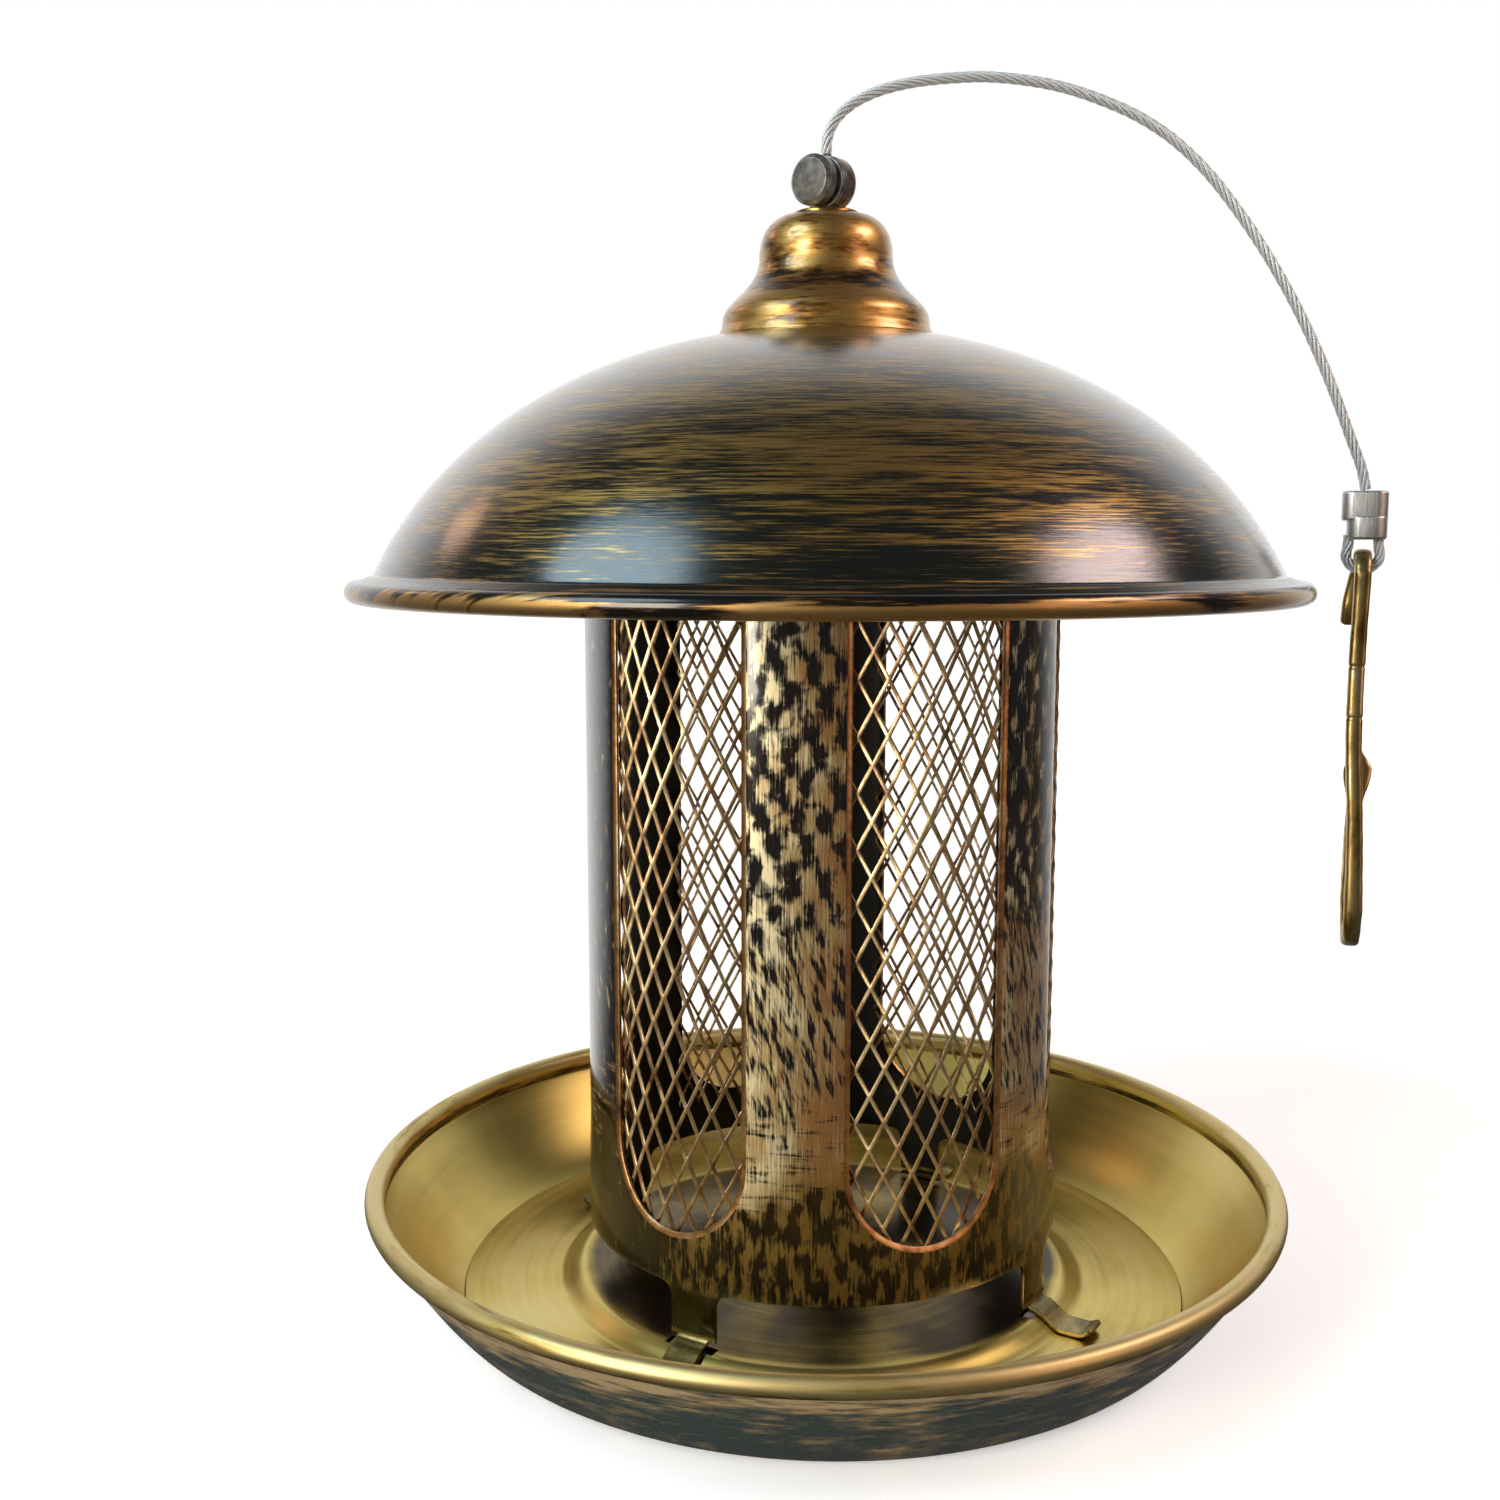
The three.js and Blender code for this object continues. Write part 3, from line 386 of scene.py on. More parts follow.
lens = {
    "place": (-0.016958, -0.375897, 0.174249),
    "downward": 7.359,  # degrees
    "focalLength": 1635.36,  # in pixels of a picture 1500 wide
    "sensor": 36,
}
camera = linkObject("camera", bpy.data.cameras.new("camera"))
camera.data.sensor_fit = "HORIZONTAL"
camera.data.sensor_width = lens["sensor"]
camera.data.lens = lens["sensor"] * lens["focalLength"] / 1500
camera.data.clip_start = 0.01
camera.location = lens["place"]
camera.rotation_euler = (math.radians(90 - lens["downward"]), 0, 0)
bpy.context.scene.camera = camera
print("camera placed")


# Steel wire rope: six strands laid round a core

rope = {
    "diameter": 2.4,
    "lay": 15,  # length of one turn of a strand
    "strands": 6, "sides": 8, "step": 0.9,
    "seat": 0.3,  # the free cable starts this far above the lock
    "endTurn": -18,  # bearing of the plane in which everything at the cable's end stands
    "wires": 3,  # single wires that show on each strand
    "wireColour": "#ced4d8",
    # painted shade: the colour of the valleys between the strands
    "shadedValleyColour": "#969ca1",
}


def makeRopeMaterial():
    # Galvanised drawn wire: pale grey and half bright, with painted shade from ambient occlusion that
    # darkens the valleys between the strands
    material, add = startMaterial("galvanisedWireRope")
    across = add("SeparateXYZ", add("TexCoord").outputs["UV"])
    phase = add("Math", across, 2 * math.pi * rope["wires"], operation="MULTIPLY")
    wires = add("Math", phase, operation="SINE")
    # painted shade: ambient occlusion darkens the wire where the strands crowd one another
    valleyShade = add("AmbientOcclusion", {"Distance": 0.0006}, samples=8).outputs["AO"]
    tint = add("ValToRGB", valleyShade, stops=[(0.25, rope["shadedValleyColour"]), (0.85, rope["wireColour"])])
    add("OutputMaterial", add("BsdfPrincipled", {
        "Base Color": tint, "Metallic": 0.5, "Roughness": 0.52,
        "Normal": add("Bump", {"Height": wires, "Strength": 0.2, "Distance": 0.00008}),
    }))
    return material


ropeMaterial = makeRopeMaterial()
# the free cable's route from the part's source, [x, height above the lock]
freeRoute = [
    (0, 0), (0.2, 3.6), (1.9, 7.4), (5.6, 10.8), (11, 13.4), (18, 15.2), (26.5, 16.2), (35, 16.5),
    (43.6, 15.8), (52, 14.3), (60.6, 11.6), (69.2, 7.9), (77.2, 2.8), (84.9, -4.2), (92.2, -12.9),
    (98.6, -21.8), (104.8, -31.7), (110.5, -42.4), (115.2, -52.7), (118.8, -61.4), (121.6, -68.2),
    (122.9, -73.2),
]


def makeRope(name, points, body):
    # the rope and its middle line in metres; a strand is a third as thick as the rope
    route = smoothRoute(points, rope["step"])
    frames = routeFrames(route, (0, 1, 0.001))
    strand = rope["diameter"] / 6
    orbit = rope["diameter"] / 2 - strand
    vertices, faces, travelled = [], [], 0.0
    paths = [[] for _ in range(rope["strands"])]
    for i, (centre, side, normal) in enumerate(frames):
        if i:
            travelled += (centre - frames[i - 1][0]).length
        for k, path in enumerate(paths):
            angle = 2 * math.pi * (travelled / rope["lay"] + k / rope["strands"])
            path.append(centre + (side * math.cos(angle) + normal * math.sin(angle)) * orbit)
    for path in paths:
        addTube(vertices, faces, routeFrames(path, (0.3, 1, 0.1)), strand, rope["sides"])
    addTube(vertices, faces, frames, strand, rope["sides"])
    piece = finishMesh(name, vertices, faces, ropeMaterial, body, 60)
    layer = piece.data.uv_layers.new(name="around")
    for corner in piece.data.loops:
        layer.data[corner.index].uv = (corner.vertex_index % rope["sides"] / rope["sides"], 0)
    return piece, [p * mm for p in route]


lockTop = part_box("inner_cable")[1].z / mm
ropeStart = lockTop + rope["seat"]
hangerRope, hangerPath = makeRope(
    "hangerRope", [(x, 0, ropeStart + z) for x, z in freeRoute], "lock"
)
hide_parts("hanger_cable")

# the loop comes out of the ferrule, and the hook swings between its sides
loop = {"width": 9.8, "height": 8, "neck": 3.25, "seat": 1.0}
ferrule = {
    "width": 10, "depth": 5.4, "height": 11,
    "bandWidth": 8.8, "bandDepth": 6.2, "bandHeight": 5.4, "bandShift": 0.6, "bandLap": 1.2,
    "round": 0.7,
    "squeeze": 0.12,  # how far the press drew in its middle
    "sides": 40,
}
endPlacing = (Matrix.Translation((freeRoute[-1][0], 0, 0))
              @ Matrix.Rotation(math.radians(rope["endTurn"]), 4, "Z"))
ferruleHead = ropeStart + freeRoute[-1][1] - rope["seat"]
ferruleFoot = ferruleHead - ferrule["height"]
loopBottom = ferruleFoot - loop["height"] + rope["diameter"] / 2


def makeLoop():
    reach = (loop["width"] - rope["diameter"]) / 2
    belly = loopBottom + reach
    neck, top, neckFoot = loop["neck"], ferruleFoot + loop["seat"], ferruleFoot - (ferruleFoot - belly) / 3
    points = [(-neck, top), (-neck, neckFoot), *arcOf(0, belly, reach, 190, 350, 8)]
    points += [(neck, neckFoot), (neck, top)]
    piece, _ = makeRope("ropeLoop", [endPlacing @ Vector((x, 0, z)) for x, z in points], "lock")
    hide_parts("cable_loop")
    return piece


ropeLoop = makeLoop()
# The run inside the feeder, in two pieces so that it reaches from the crossbar to the roof and on to the
# lock: name, lower end, a point on the way, upper end, body below and above, where each body's hold ends
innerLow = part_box("inner_cable")[0].z / mm
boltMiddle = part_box("hollow_bolt")[0].z / mm + 8
innerRuns = (
    ("innerRope", innerLow, innerLow + 3, boltMiddle, "root", "roof", innerLow + 12, boltMiddle - 2),
    ("guideRope", boltMiddle, boltMiddle + 4, lockTop, "roof", "lock", boltMiddle + 2, lockTop - 8),
)
for name, start, way, end, lowBody, highBody, lowHold, highHold in innerRuns:
    innerRun, _ = makeRope(name, [(0, 0, start), (0, 0, way), (0, 0, end)], None)
    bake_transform(innerRun)
    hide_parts("inner_cable")
print("cables made")


# Seed dish

dish = {
    "rimRadius": 106.5, "height": 28, "bead": 4.4, "sheet": 1.0, "baseRadius": 84,
    "wallPower": 0.7, "plateauRadius": 57.5, "plateauHeight": 3, "plateauRise": 4,
    "facets": 200, "footBearing": -32,
    # under each foot a slot, and a slit beside the foot: width, distance aside, inner and outer radius
    "slots": ((12.0, 0, 53.9, 56.8), (0.9, 4.35, 56.5, 62.0)),
}
dishInsideLook = {
    "streaks": (1.2, 1.6), "broad": (1.6, 30, 0.75), "worn": (0.1, 0.7), "metal": (1.0, 1.0),
    "colours": ("#382b11", "#a08b43", "#dac26d", "#e8d48e"), "rough": (0.24, 0.38), "bump": 0.04,
    # painted shade: the plateau under the shell, inside 54 mm, is darkened as if in the shell's shadow
    "coat": (0.1, 0.25), "heavierPatinaAndShade": [("radius", 57, 54, 0.32)],
}
dishOutsideLook = {
    "streaks": (9.0, 0.55), "broad": (3.0, 5, 0.34), "worn": (0.33, 0.52), "metal": (0.2, 0.5),
    "colours": ("#3b4642", "#5f6052", "#a18a5f", "#d2b98c"), "rough": (0.25, 0.46), "bump": 0.12,
    "coat": (0.6, 0.16), "heavierPatinaAndShade": [("height", 23, 12, 0.13)], "coatMarks": True,
}
dishRimLook = {
    "streaks": (7.0, 1.3), "broad": (3.0, 12, 0.5), "worn": (0.24, 0.5), "metal": (0.9, 1.0),
    "colours": ("#2b2415", "#95814a", "#ceb56c", "#dfca8e"), "rough": (0.42, 0.48), "bump": 0.22,
    "coat": (0.15, 0.25), "heavierPatinaAndShade": [("height", 25.6, 23.9, 0.2)],
}


def dishStep(radius):
    # height of the drawn step's surface, round above and below
    start, end = dish["plateauRadius"] + dish["plateauRise"] + 1, dish["plateauRadius"] - 1
    share = min(max((start - radius) / (start - end), 0), 1)
    return dish["sheet"] + dish["plateauHeight"] * smoothStep(share)


def makeDish():
    bead = dish["bead"] / 2
    beadR, beadZ = dish["rimRadius"] - bead, dish["height"] - bead

    def wall(share, inset):
        return (dish["baseRadius"] + (beadR - dish["baseRadius"]) * share ** dish["wallPower"] - inset,
                (beadZ - bead / 2) * share)

    shares = [0.02 + 0.9 * k / 15 for k in range(16)]  # the bead covers the wall's top
    floor, top = dish["sheet"], dish["sheet"] + dish["plateauHeight"]
    stepFoot = dish["plateauRadius"] + dish["plateauRise"]
    profile = [(0, top - floor), (dish["plateauRadius"] - floor, top - floor), (stepFoot - floor, 0),
               (dish["baseRadius"] - 1, 0)]
    profile += [wall(s, 0) for s in shares]
    profile += arcOf(beadR, beadZ, bead, -90, 180, 24)
    profile += [wall(s, dish["sheet"]) for s in reversed(shares)]
    profile.append((wall(0.05, 2)[0], floor))
    for k in range(13):
        radius = stepFoot + 1 - (stepFoot + 2 - dish["plateauRadius"]) * k / 12
        profile.append((radius, dishStep(radius)))
    profile.append((0, top))
    inside = makeBrushedLacquer("satinBrassLacquer", dishInsideLook)
    piece = turned("seedDish", softenCorners(profile, 0.5), dish["facets"], inside, None)
    for k in range(4):
        bearing = math.radians(dish["footBearing"] + 90 * k)
        for width, aside, near, far in dish["slots"]:
            cutter = linkObject("cutter", bpy.data.meshes.new("cutter"))
            box = bmesh.new()
            bmesh.ops.create_cube(box, size=1)
            box.to_mesh(cutter.data)
            box.free()
            size = Matrix.Diagonal((width * mm, (far - near) * mm, 0.02, 1))
            middle = Matrix.Translation((aside * mm, -(near + far) / 2 * mm, 0))
            cutter.data.transform(Matrix.Rotation(bearing, 4, "Z") @ middle @ size)
            cutAway(piece, cutter)
    shadeMesh(piece.data, 30)

    def zone(centre, normal):
        if centre.z > dish["height"] - dish["bead"] - 0.3:
            return 1
        outside = outwardness(centre, normal) > 0.3 and centre.xy.length > 80
        return 2 if normal.z < -0.25 or outside else 0

    paintZones(piece, [
        makeBrushedLacquer("brushedBrassRim", dishRimLook),
        makeBrushedLacquer("brushedBronzeDishOutside", dishOutsideLook),
    ], zone)
    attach(piece, "root")
    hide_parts("seed_tray")


makeDish()
print("dish made")


# Shell: one sheet, drawn flat and rolled, with windows and legs

shell = {
    "radius": 55, "sheet": 0.8, "bottom": 16.4, "top": 207.4, "windowWidth": 34.9,
    "windowHeight": 163.3, "windowSill": 11.3,
    "windowBearings": (-38.25, 21.75, 81.75),  # and half a turn further on
    "legBearings": (-32, 58), "legWidth": 11.2, "legFillet": 3, "legEnd": 6.7,
    "legCurl": 1.2,  # how far the leg's full width follows the bend
    "footWidth": 7.6, "footCorner": 1.5,
    "footRest": 0.7,  # the middle of the foot's sheet above the dish
    "footBend": 2.0,  # to the middle of the sheet
    "footReach": 14.5, "toe": (3.0, 1.4), "edgeRound": 0.14, "spacing": 2.6,
    "legSpacings": (0.8, 0.5),  # on the leg's sides and on the foot's
    "seamBearing": -68.25,
    "windowLip": 1.7,  # width of the pressed lip round each window
    "lipDrop": 0.5,  # how far the lip turns in
    "lipRings": (0.5, 1.1, 1.8),
    "bareEdge": 1.2,  # the brush left the lip's edge bare
}
shellMiddle = shell["radius"] - shell["sheet"] / 2
windowRadius = shell["windowWidth"] / 2
windowLow = shell["bottom"] + shell["windowSill"] + windowRadius  # middle of the lower arc
windowHigh = windowLow + shell["windowHeight"] - 2 * windowRadius


def flatPlace(bearing):
    # distance round the sheet from its seam
    return math.radians(bearing - shell["seamBearing"]) * shellMiddle


def windowGap(u, z):
    # distance from a point of the flat sheet to the nearest window's edge
    away = max(windowLow - z, z - windowHigh, 0)
    return min(math.hypot(u - flatPlace(b), away) for b in shell["windowBearings"]) - windowRadius


def rollPoint(u, s):
    # the flat sheet rolled into a tube; below a leg's end the strip bends and turns outwards
    if s >= shell["legEnd"]:
        angle = u / shellMiddle + math.radians(shell["seamBearing"])
        share = max(1 - max(windowGap(u, s), 0) / shell["windowLip"], 0)
        radius = shellMiddle - shell["lipDrop"] * share ** 2
        return axisPoint(radius, angle, s)
    legBearing = min(shell["legBearings"], key=lambda b: abs(flatPlace(b) - u))
    offset = u - flatPlace(legBearing)
    along, bend, (toeOut, toeUp) = shell["legEnd"] - s, shell["footBend"], shell["toe"]
    quarter = bend * math.pi / 2
    toeStart = shell["radius"] + shell["footReach"] - toeOut - shellMiddle - bend
    if along < quarter:
        out, z = bend * (1 - math.cos(along / bend)), shell["legEnd"] - bend * math.sin(along / bend)
    else:
        share = min(max(along - quarter - toeStart, 0) / math.hypot(toeOut, toeUp), 1)
        out = bend + min(along - quarter, toeStart) + toeOut * share
        z = dishStep(shellMiddle + out) + shell["footRest"] + toeUp * share ** 1.5
    tangent = shellMiddle * math.sin(offset / shellMiddle)
    outward = shellMiddle * math.cos(offset / shellMiddle) + out
    angle = math.radians(legBearing)
    return Vector((tangent * math.cos(angle) + outward * math.sin(angle),
                   tangent * math.sin(angle) - outward * math.cos(angle), z))


def evenly(start, end, spacing):
    # points from start up to, but without, end
    a, b = Vector(start), Vector(end)
    steps = max(1, round((b - a).length / spacing))
    return [tuple(a.lerp(b, k / steps)) for k in range(steps)]


def tracePath(here, moves):
    # points along a path, without its last one; a move is [point, spacing] or the arguments of an arc
    path = []
    for move in moves:
        if len(move) == 2:
            path += evenly(here, *move)
            here = move[0]
        else:
            *points, here = arcOf(*move)
            path += points
    return path


def shellOutline():
    gap, bottom, fillet, corner = shell["spacing"], shell["bottom"], shell["legFillet"], shell["footCorner"]
    legGap, footGap = shell["legSpacings"]
    footEnd = shell["legEnd"] - shell["footBend"] * math.pi / 2 - (
        shell["footReach"] - shell["toe"][0] + shell["sheet"] / 2 - shell["footBend"]
    ) - math.hypot(*shell["toe"])
    legLow, legTop, cornerZ = shell["legEnd"] - shell["legCurl"], bottom - fillet, footEnd + corner
    moves = []
    for bearing in shell["legBearings"]:
        centre, leg, foot = flatPlace(bearing), shell["legWidth"] / 2, shell["footWidth"] / 2
        left, right, footLeft, footRight = centre - leg, centre + leg, centre - foot, centre + foot
        moves += [
            ((left - fillet, bottom), gap), (left - fillet, legTop, fillet, 90, 0, 6),
            ((left, legLow), legGap), ((footLeft, legLow), 1), ((footLeft, cornerZ), footGap),
            (footLeft + corner, cornerZ, corner, 180, 270, 4), ((footRight - corner, footEnd), 1),
            (footRight - corner, cornerZ, corner, 270, 360, 4), ((footRight, legLow), footGap),
            ((right, legLow), 1), ((right, legTop), legGap), (right + fillet, legTop, fillet, 180, 90, 6),
        ]
    width, top = math.pi * shellMiddle, shell["top"]
    moves += [(point, gap) for point in ((width, bottom), (width, top), (0, top), (0, bottom))]
    return tracePath((0.0, bottom), moves)


def windowOutline(bearing, grow=0.0):
    u, radius, gap = flatPlace(bearing), windowRadius + grow, shell["spacing"]
    return tracePath(None, [
        (u, windowHigh, radius, 0, 180, 28), ((u - radius, windowLow), gap),
        (u, windowLow, radius, 180, 360, 28), ((u + radius, windowHigh), gap),
    ])


def insideOutline(point, outline):
    x, y = point
    inside = False
    for (x1, y1), (x2, y2) in zip(outline, outline[1:] + outline[:1]):
        if (y1 > y) != (y2 > y) and x < (x2 - x1) * (y - y1) / (y2 - y1) + x1:
            inside = not inside
    return inside


def makeShellSheet():
    # half of the shell as triangles between staggered points, and the same turned to the back
    edge, windows = shellOutline(), [windowOutline(b) for b in shell["windowBearings"]]

    def onSheet(point):
        return insideOutline(point, edge) and not any(insideOutline(point, w) for w in windows)

    points, borders = [], []
    for outline in (edge, *windows):
        first, count = len(points), len(outline)
        borders += [(first + k, first + (k + 1) % count) for k in range(count)]
        points += outline
    for bearing in shell["windowBearings"]:
        for grow in shell["lipRings"]:
            points += windowOutline(bearing, grow)
    row, z = 0, min(z for _, z in edge) + 0.6
    while z < shell["top"]:
        step = shell["spacing"] if z > shell["legEnd"] + 1 else shell["legSpacings"][0]
        u = shell["spacing"] * (0.5 if row % 2 else 1.0)
        while u < math.pi * shellMiddle:
            nearest = min(math.hypot(u - x, z - y) for x, y in points)
            if nearest > step * 0.55 and onSheet((u, z)):
                points.append((u, z))
            u += step
        z += step * 0.87  # the height of an even triangle
        row += 1
    corners, _, triangles, *_ = delaunay_2d_cdt([Vector(p) for p in points], borders, [], 0, 1e-5)
    kept = [t for t in triangles if onSheet(sum((corners[i] for i in t), Vector((0, 0))) / 3)]
    half = [rollPoint(c.x, c.y) for c in corners]
    vertices = half + [Vector((-v.x, -v.y, v.z)) for v in half]
    return vertices, kept + [tuple(i + len(half) for i in t) for t in kept]


shellLook = {
    "ground": "#c8b07c",
    "paleGround": "#f0e4bc",
    "coppery": "#b2804c",
    "lowGround": "#8c7138",  # on the dabbed band round the foot
    "patina": "#0c0d0c",
    "brownPatina": "#33210f",
    "bareLeg": "#463a1b",
    "seamBearing": -158.25,  # where the unrolled pattern meets itself, in a window's column
    # the marks of the brush: mm across and up, detail and distortion of the noise
    "marks": {
        "dabs": (2.6, 3.4, 2.0, 0.4),
        "dashes": (1.4, 6.0, 2.0, 0.0),
        "wipes": (8.0, 1.3, 3.0, 0.0),
        "footDabs": (2.5, 6.0, 2.0, 0.2),
        "scratches": (0.4, 8.0, 3.0, 0.0),
        "wander": (14, 14, 2.0, 0.0),
    },
    "zones": (("dashes", 84, 104), ("wipes", 52, 60), ("footDabs", 36, 44)),  # from the dabs downwards
    "raggedness": 30.0,  # mm over which the hand wandered from a level line
    "dabPitch": (6.2, 12.4),  # the dabs stand in staggered rows, half of this apart
    "dabOrder": (0.55, 0.19),  # how much of the unevenness is left, and how much the rows count
    "dabDrift": (6.0, -8.0),  # mm that the rows wander from a straight line
    "dashSlant": 0.3,  # mm across for each mm of fall
    "wipeThin": (0.85, 0.165),  # the wipes are thin, so bronze shows through them
    "scratchShare": 0.3,
    # from one height to another the pattern moves towards bronze (more) or black (less)
    "shifts": ((33, 47, -0.015, 0.035), (83, 113, 0.0, -0.05)),
    # the two pillars that took the most black: bearing, how much, and from what height up
    "heavyPillars": ((-72, 0.16, 0), (62, 0.07, 92)),
    "pillarEdge": (0.044, 0.051),  # how far out a point must stand on the pillar's side, in metres
    "cover": (0.44, 0.605),  # pattern value where black ends and where bare bronze starts
    # sideLightTone: painted highlight and shade, how far the lit and the shaded side of each pillar move
    # the tone
    "sideLightTone": 0.09, "lowTone": (70, 90, -0.05), "lowBand": (36, 50),
    "legTop": (0.6, -1.4),  # the plain legs start here, measured from the shell's bottom edge
    "groundMetal": 0.78, "rough": (0.14, 0.42),
}


def makeShellMaterial():
    # Steel tube in bronze lacquer, daubed by hand with black: square dabs above, slanting dashes
    # below them, level wipes, and upright dabs round the foot. A dry brush scratched it all upright.
    # The clear coat gives pale, sharp reflections at the sides.
    look = shellLook
    material, add = startMaterial("daubedBronzeLacquer")
    place = add("TexCoord").outputs["Object"]
    turn = math.radians(180 - (look["seamBearing"] - 90) - 360)
    spun = add("VectorRotate", {"Vector": place, "Angle": turn}, rotation_type="Z_AXIS")
    x, y, height = add("SeparateXYZ", spun).outputs
    angle = add("Math", y, x, operation="ARCTAN2")
    across = add("Math", angle, shellMiddle, operation="MULTIPLY")
    up = add("Math", height, 1 / mm, operation="MULTIPLY")
    slanted = add("Math", up, look["dashSlant"], across, operation="MULTIPLY_ADD")
    marks = {}
    for name, (wide, high, detail, distortion) in look["marks"].items():
        sheet = add("CombineXYZ", slanted if name == "dashes" else across, up)
        scaled = add("VectorMath", sheet, (1 / wide, 1 / high, 1), operation="MULTIPLY")
        marks[name] = add("TexNoise", {
            "Vector": scaled, "Scale": 1.0, "Detail": detail, "Roughness": 0.55, "Distortion": distortion,
        }, noise_dimensions="2D")
    marks["wipes"] = add("Math", marks["wipes"], *look["wipeThin"], operation="MULTIPLY_ADD")
    scratches, wander = marks["scratches"], marks["wander"]
    ragged = add("Math", wander, look["raggedness"], up, operation="MULTIPLY_ADD")

    # the dabs are set in staggered rows
    waves = []
    for line, pitch, drift in zip((across, up), look["dabPitch"], look["dabDrift"]):
        moved = add("Math", wander, drift, line, operation="MULTIPLY_ADD")
        phase = add("Math", moved, 2 * math.pi / pitch, operation="MULTIPLY")
        waves.append(add("Math", phase, operation="SINE"))
    rows = add("Math", *waves, operation="MULTIPLY")
    uneven, ordered = look["dabOrder"]
    pattern = add("Math", marks["dabs"], uneven, (1 - uneven) / 2, operation="MULTIPLY_ADD")
    pattern = add("Math", rows, ordered, pattern, operation="MULTIPLY_ADD")

    def raggedStep(start, end, low=0.0, high=1.0):
        # changes between two heights, along a ragged line
        offset = look["raggedness"] / 2
        return add("MapRange", ragged, start + offset, end + offset, low, high, **smooth)

    for name, start, end in look["zones"]:
        pattern = add("Mix", {0: raggedStep(start, end), 2: marks[name], 3: pattern})
    pattern = add("Mix", {0: look["scratchShare"], 2: pattern, 3: scratches})
    shifts = [raggedStep(*shift) for shift in look["shifts"]]
    for bearing, amount, lowest in look["heavyPillars"]:
        outwards = axisPoint(1, math.radians(bearing), 0)
        facing = add("VectorMath", place, outwards, operation="DOT_PRODUCT").outputs["Value"]
        above = add("MapRange", up, lowest - 5, lowest + 5, 0.0, -amount, **smooth)
        shifts.append(add("MapRange", facing, *look["pillarEdge"], 0.0, above, **smooth))
    for shift in shifts:
        pattern = add("Math", pattern, shift)
    worn = add("MapRange", pattern, *look["cover"], **smooth)

    # painted highlight and shade: each pillar is pale on one side, as the side lamps light it, and coppery
    # on its other, shaded side, over a random tone; the tone turns coppery low down too
    tone = add("Mix", {0: 0.5, 2: wander, 3: scratches})
    sixfold = add("Math", angle, 6.0, operation="MULTIPLY")
    side = add("Math", sixfold, operation="SINE")
    tone = add("Math", side, look["sideLightTone"], tone, operation="MULTIPLY_ADD")
    tone = add("Math", tone, raggedStep(*look["lowTone"], 0.0))
    ground = add("ValToRGB", tone, stops=[
        (0.36, look["coppery"]), (0.5, look["ground"]), (0.62, look["paleGround"]),
    ])
    dark = add("ValToRGB", scratches, stops=[(0.45, look["patina"]), (0.75, look["brownPatina"])])
    bottom = shell["bottom"]
    leg = add("MapRange", up, *(bottom + rise for rise in look["legTop"]), **smooth)
    # colours laid over one another: how much of the second one covers the first
    low = raggedStep(*look["lowBand"], 1.0, 0.0)
    ground = add("Mix", {0: low, 6: ground, 7: hexColour(look["lowGround"])}, data_type="RGBA").outputs[2]
    colour = add("Mix", {0: worn, 6: dark, 7: ground}, data_type="RGBA").outputs[2]
    colour = add("Mix", {0: leg, 6: colour, 7: hexColour(look["bareLeg"])}, data_type="RGBA").outputs[2]
    metal = add("Math", worn, look["groundMetal"], operation="MULTIPLY")
    add("OutputMaterial", add("BsdfPrincipled", {
        "Base Color": colour,
        "Metallic": add("Math", metal, leg, operation="MAXIMUM"),
        "Roughness": add("MapRange", worn, 0.0, 1.0, *look["rough"]),
        "Normal": add("Bump", {"Height": pattern, "Strength": 0.12, "Distance": 0.0002}),
        "Coat Weight": 0.8, "Coat Roughness": 0.06, "Coat IOR": 1.5,
    }))
    return material


insideLook = {
    "streaks": (4.0, 6), "broad": (2.0, 30, 0.5), "worn": (0.4, 0.8), "metal": (0.3, 1.0),
    "colours": ("#0d0b08", "#17120c", "#2a2014", "#3b2d1b"), "rough": (0.5, 0.45), "bump": 0.1,
    "coat": (0.2, 0.3),
}
edgeLook = {
    "streaks": (20, 3), "broad": (8, 12, 0.5), "worn": (0.28, 0.6), "metal": (0.8, 1.0),
    "colours": ("#3a2511", "#85603a", "#b38655", "#d3ac7c"), "rough": (0.4, 0.34), "bump": 0.1,
    "coat": (0.3, 0.15),
}
feetLook = {
    "streaks": (12, 2.4), "broad": (6, 9, 0.5), "worn": (0.28, 0.62), "metal": (0.8, 1.0),
    "colours": ("#2c2413", "#62532c", "#85733f", "#a8935a"), "rough": (0.4, 0.38), "bump": 0.12,
    "coat": (0.3, 0.15),
}


def makeShell():
    vertices, faces = makeShellSheet()
    piece = finishMesh("windowedShell", vertices, faces, makeShellMaterial(), None, 40, 0.05)
    thickenSheet(piece, shell["sheet"], shell["edgeRound"], 60, True)

    def zone(centre, normal):
        outward = outwardness(centre, normal)
        if centre.xy.length > shell["radius"] + 0.6 or centre.z < shell["legEnd"]:
            return 3
        if outward < -0.8:
            return 1
        turn = math.atan2(centre.x, -centre.y) - math.radians(shell["seamBearing"])
        gap = windowGap(turn % math.pi * shellMiddle, centre.z)
        return 2 if outward < 0.5 or gap < shell["bareEdge"] else 0

    paintZones(piece, [
        makeBrushedLacquer("darkBronzeShellInside", insideLook),
        makeBrushedLacquer("copperCutEdge", edgeLook),
        makeBrushedLacquer("oliveBronzeFeet", feetLook),
    ], zone)
    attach(piece, "root")
    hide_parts("shell")


makeShell()
print("shell made")


# Expanded-metal panels: slit and stretched sheet, so every strand stands up at a slant

panel = {
    "cellWidth": 6.3, "cellHeight": 11.4, "strand": 0.74, "thickness": 0.5, "edgeRound": 0.16,
    "relief": 0.8,  # how far one side of a strand stands out, from the stretching
    "lap": 1.3, "bearings": [-38.25 + 60 * k for k in range(6)],
}
strandMaterial = makeBrushedLacquer("bronzeLacquerOnExpandedSteel", {
    "streaks": (30, 5), "broad": (12, 22, 0.55), "worn": (0.28, 0.58), "metal": (0.85, 1.0),
    "colours": ("#2e2114", "#8a6c4a", "#c2a276", "#e4cda0"), "rough": (0.4, 0.36), "bump": 0.1,
    "coat": (0.3, 0.15),
})


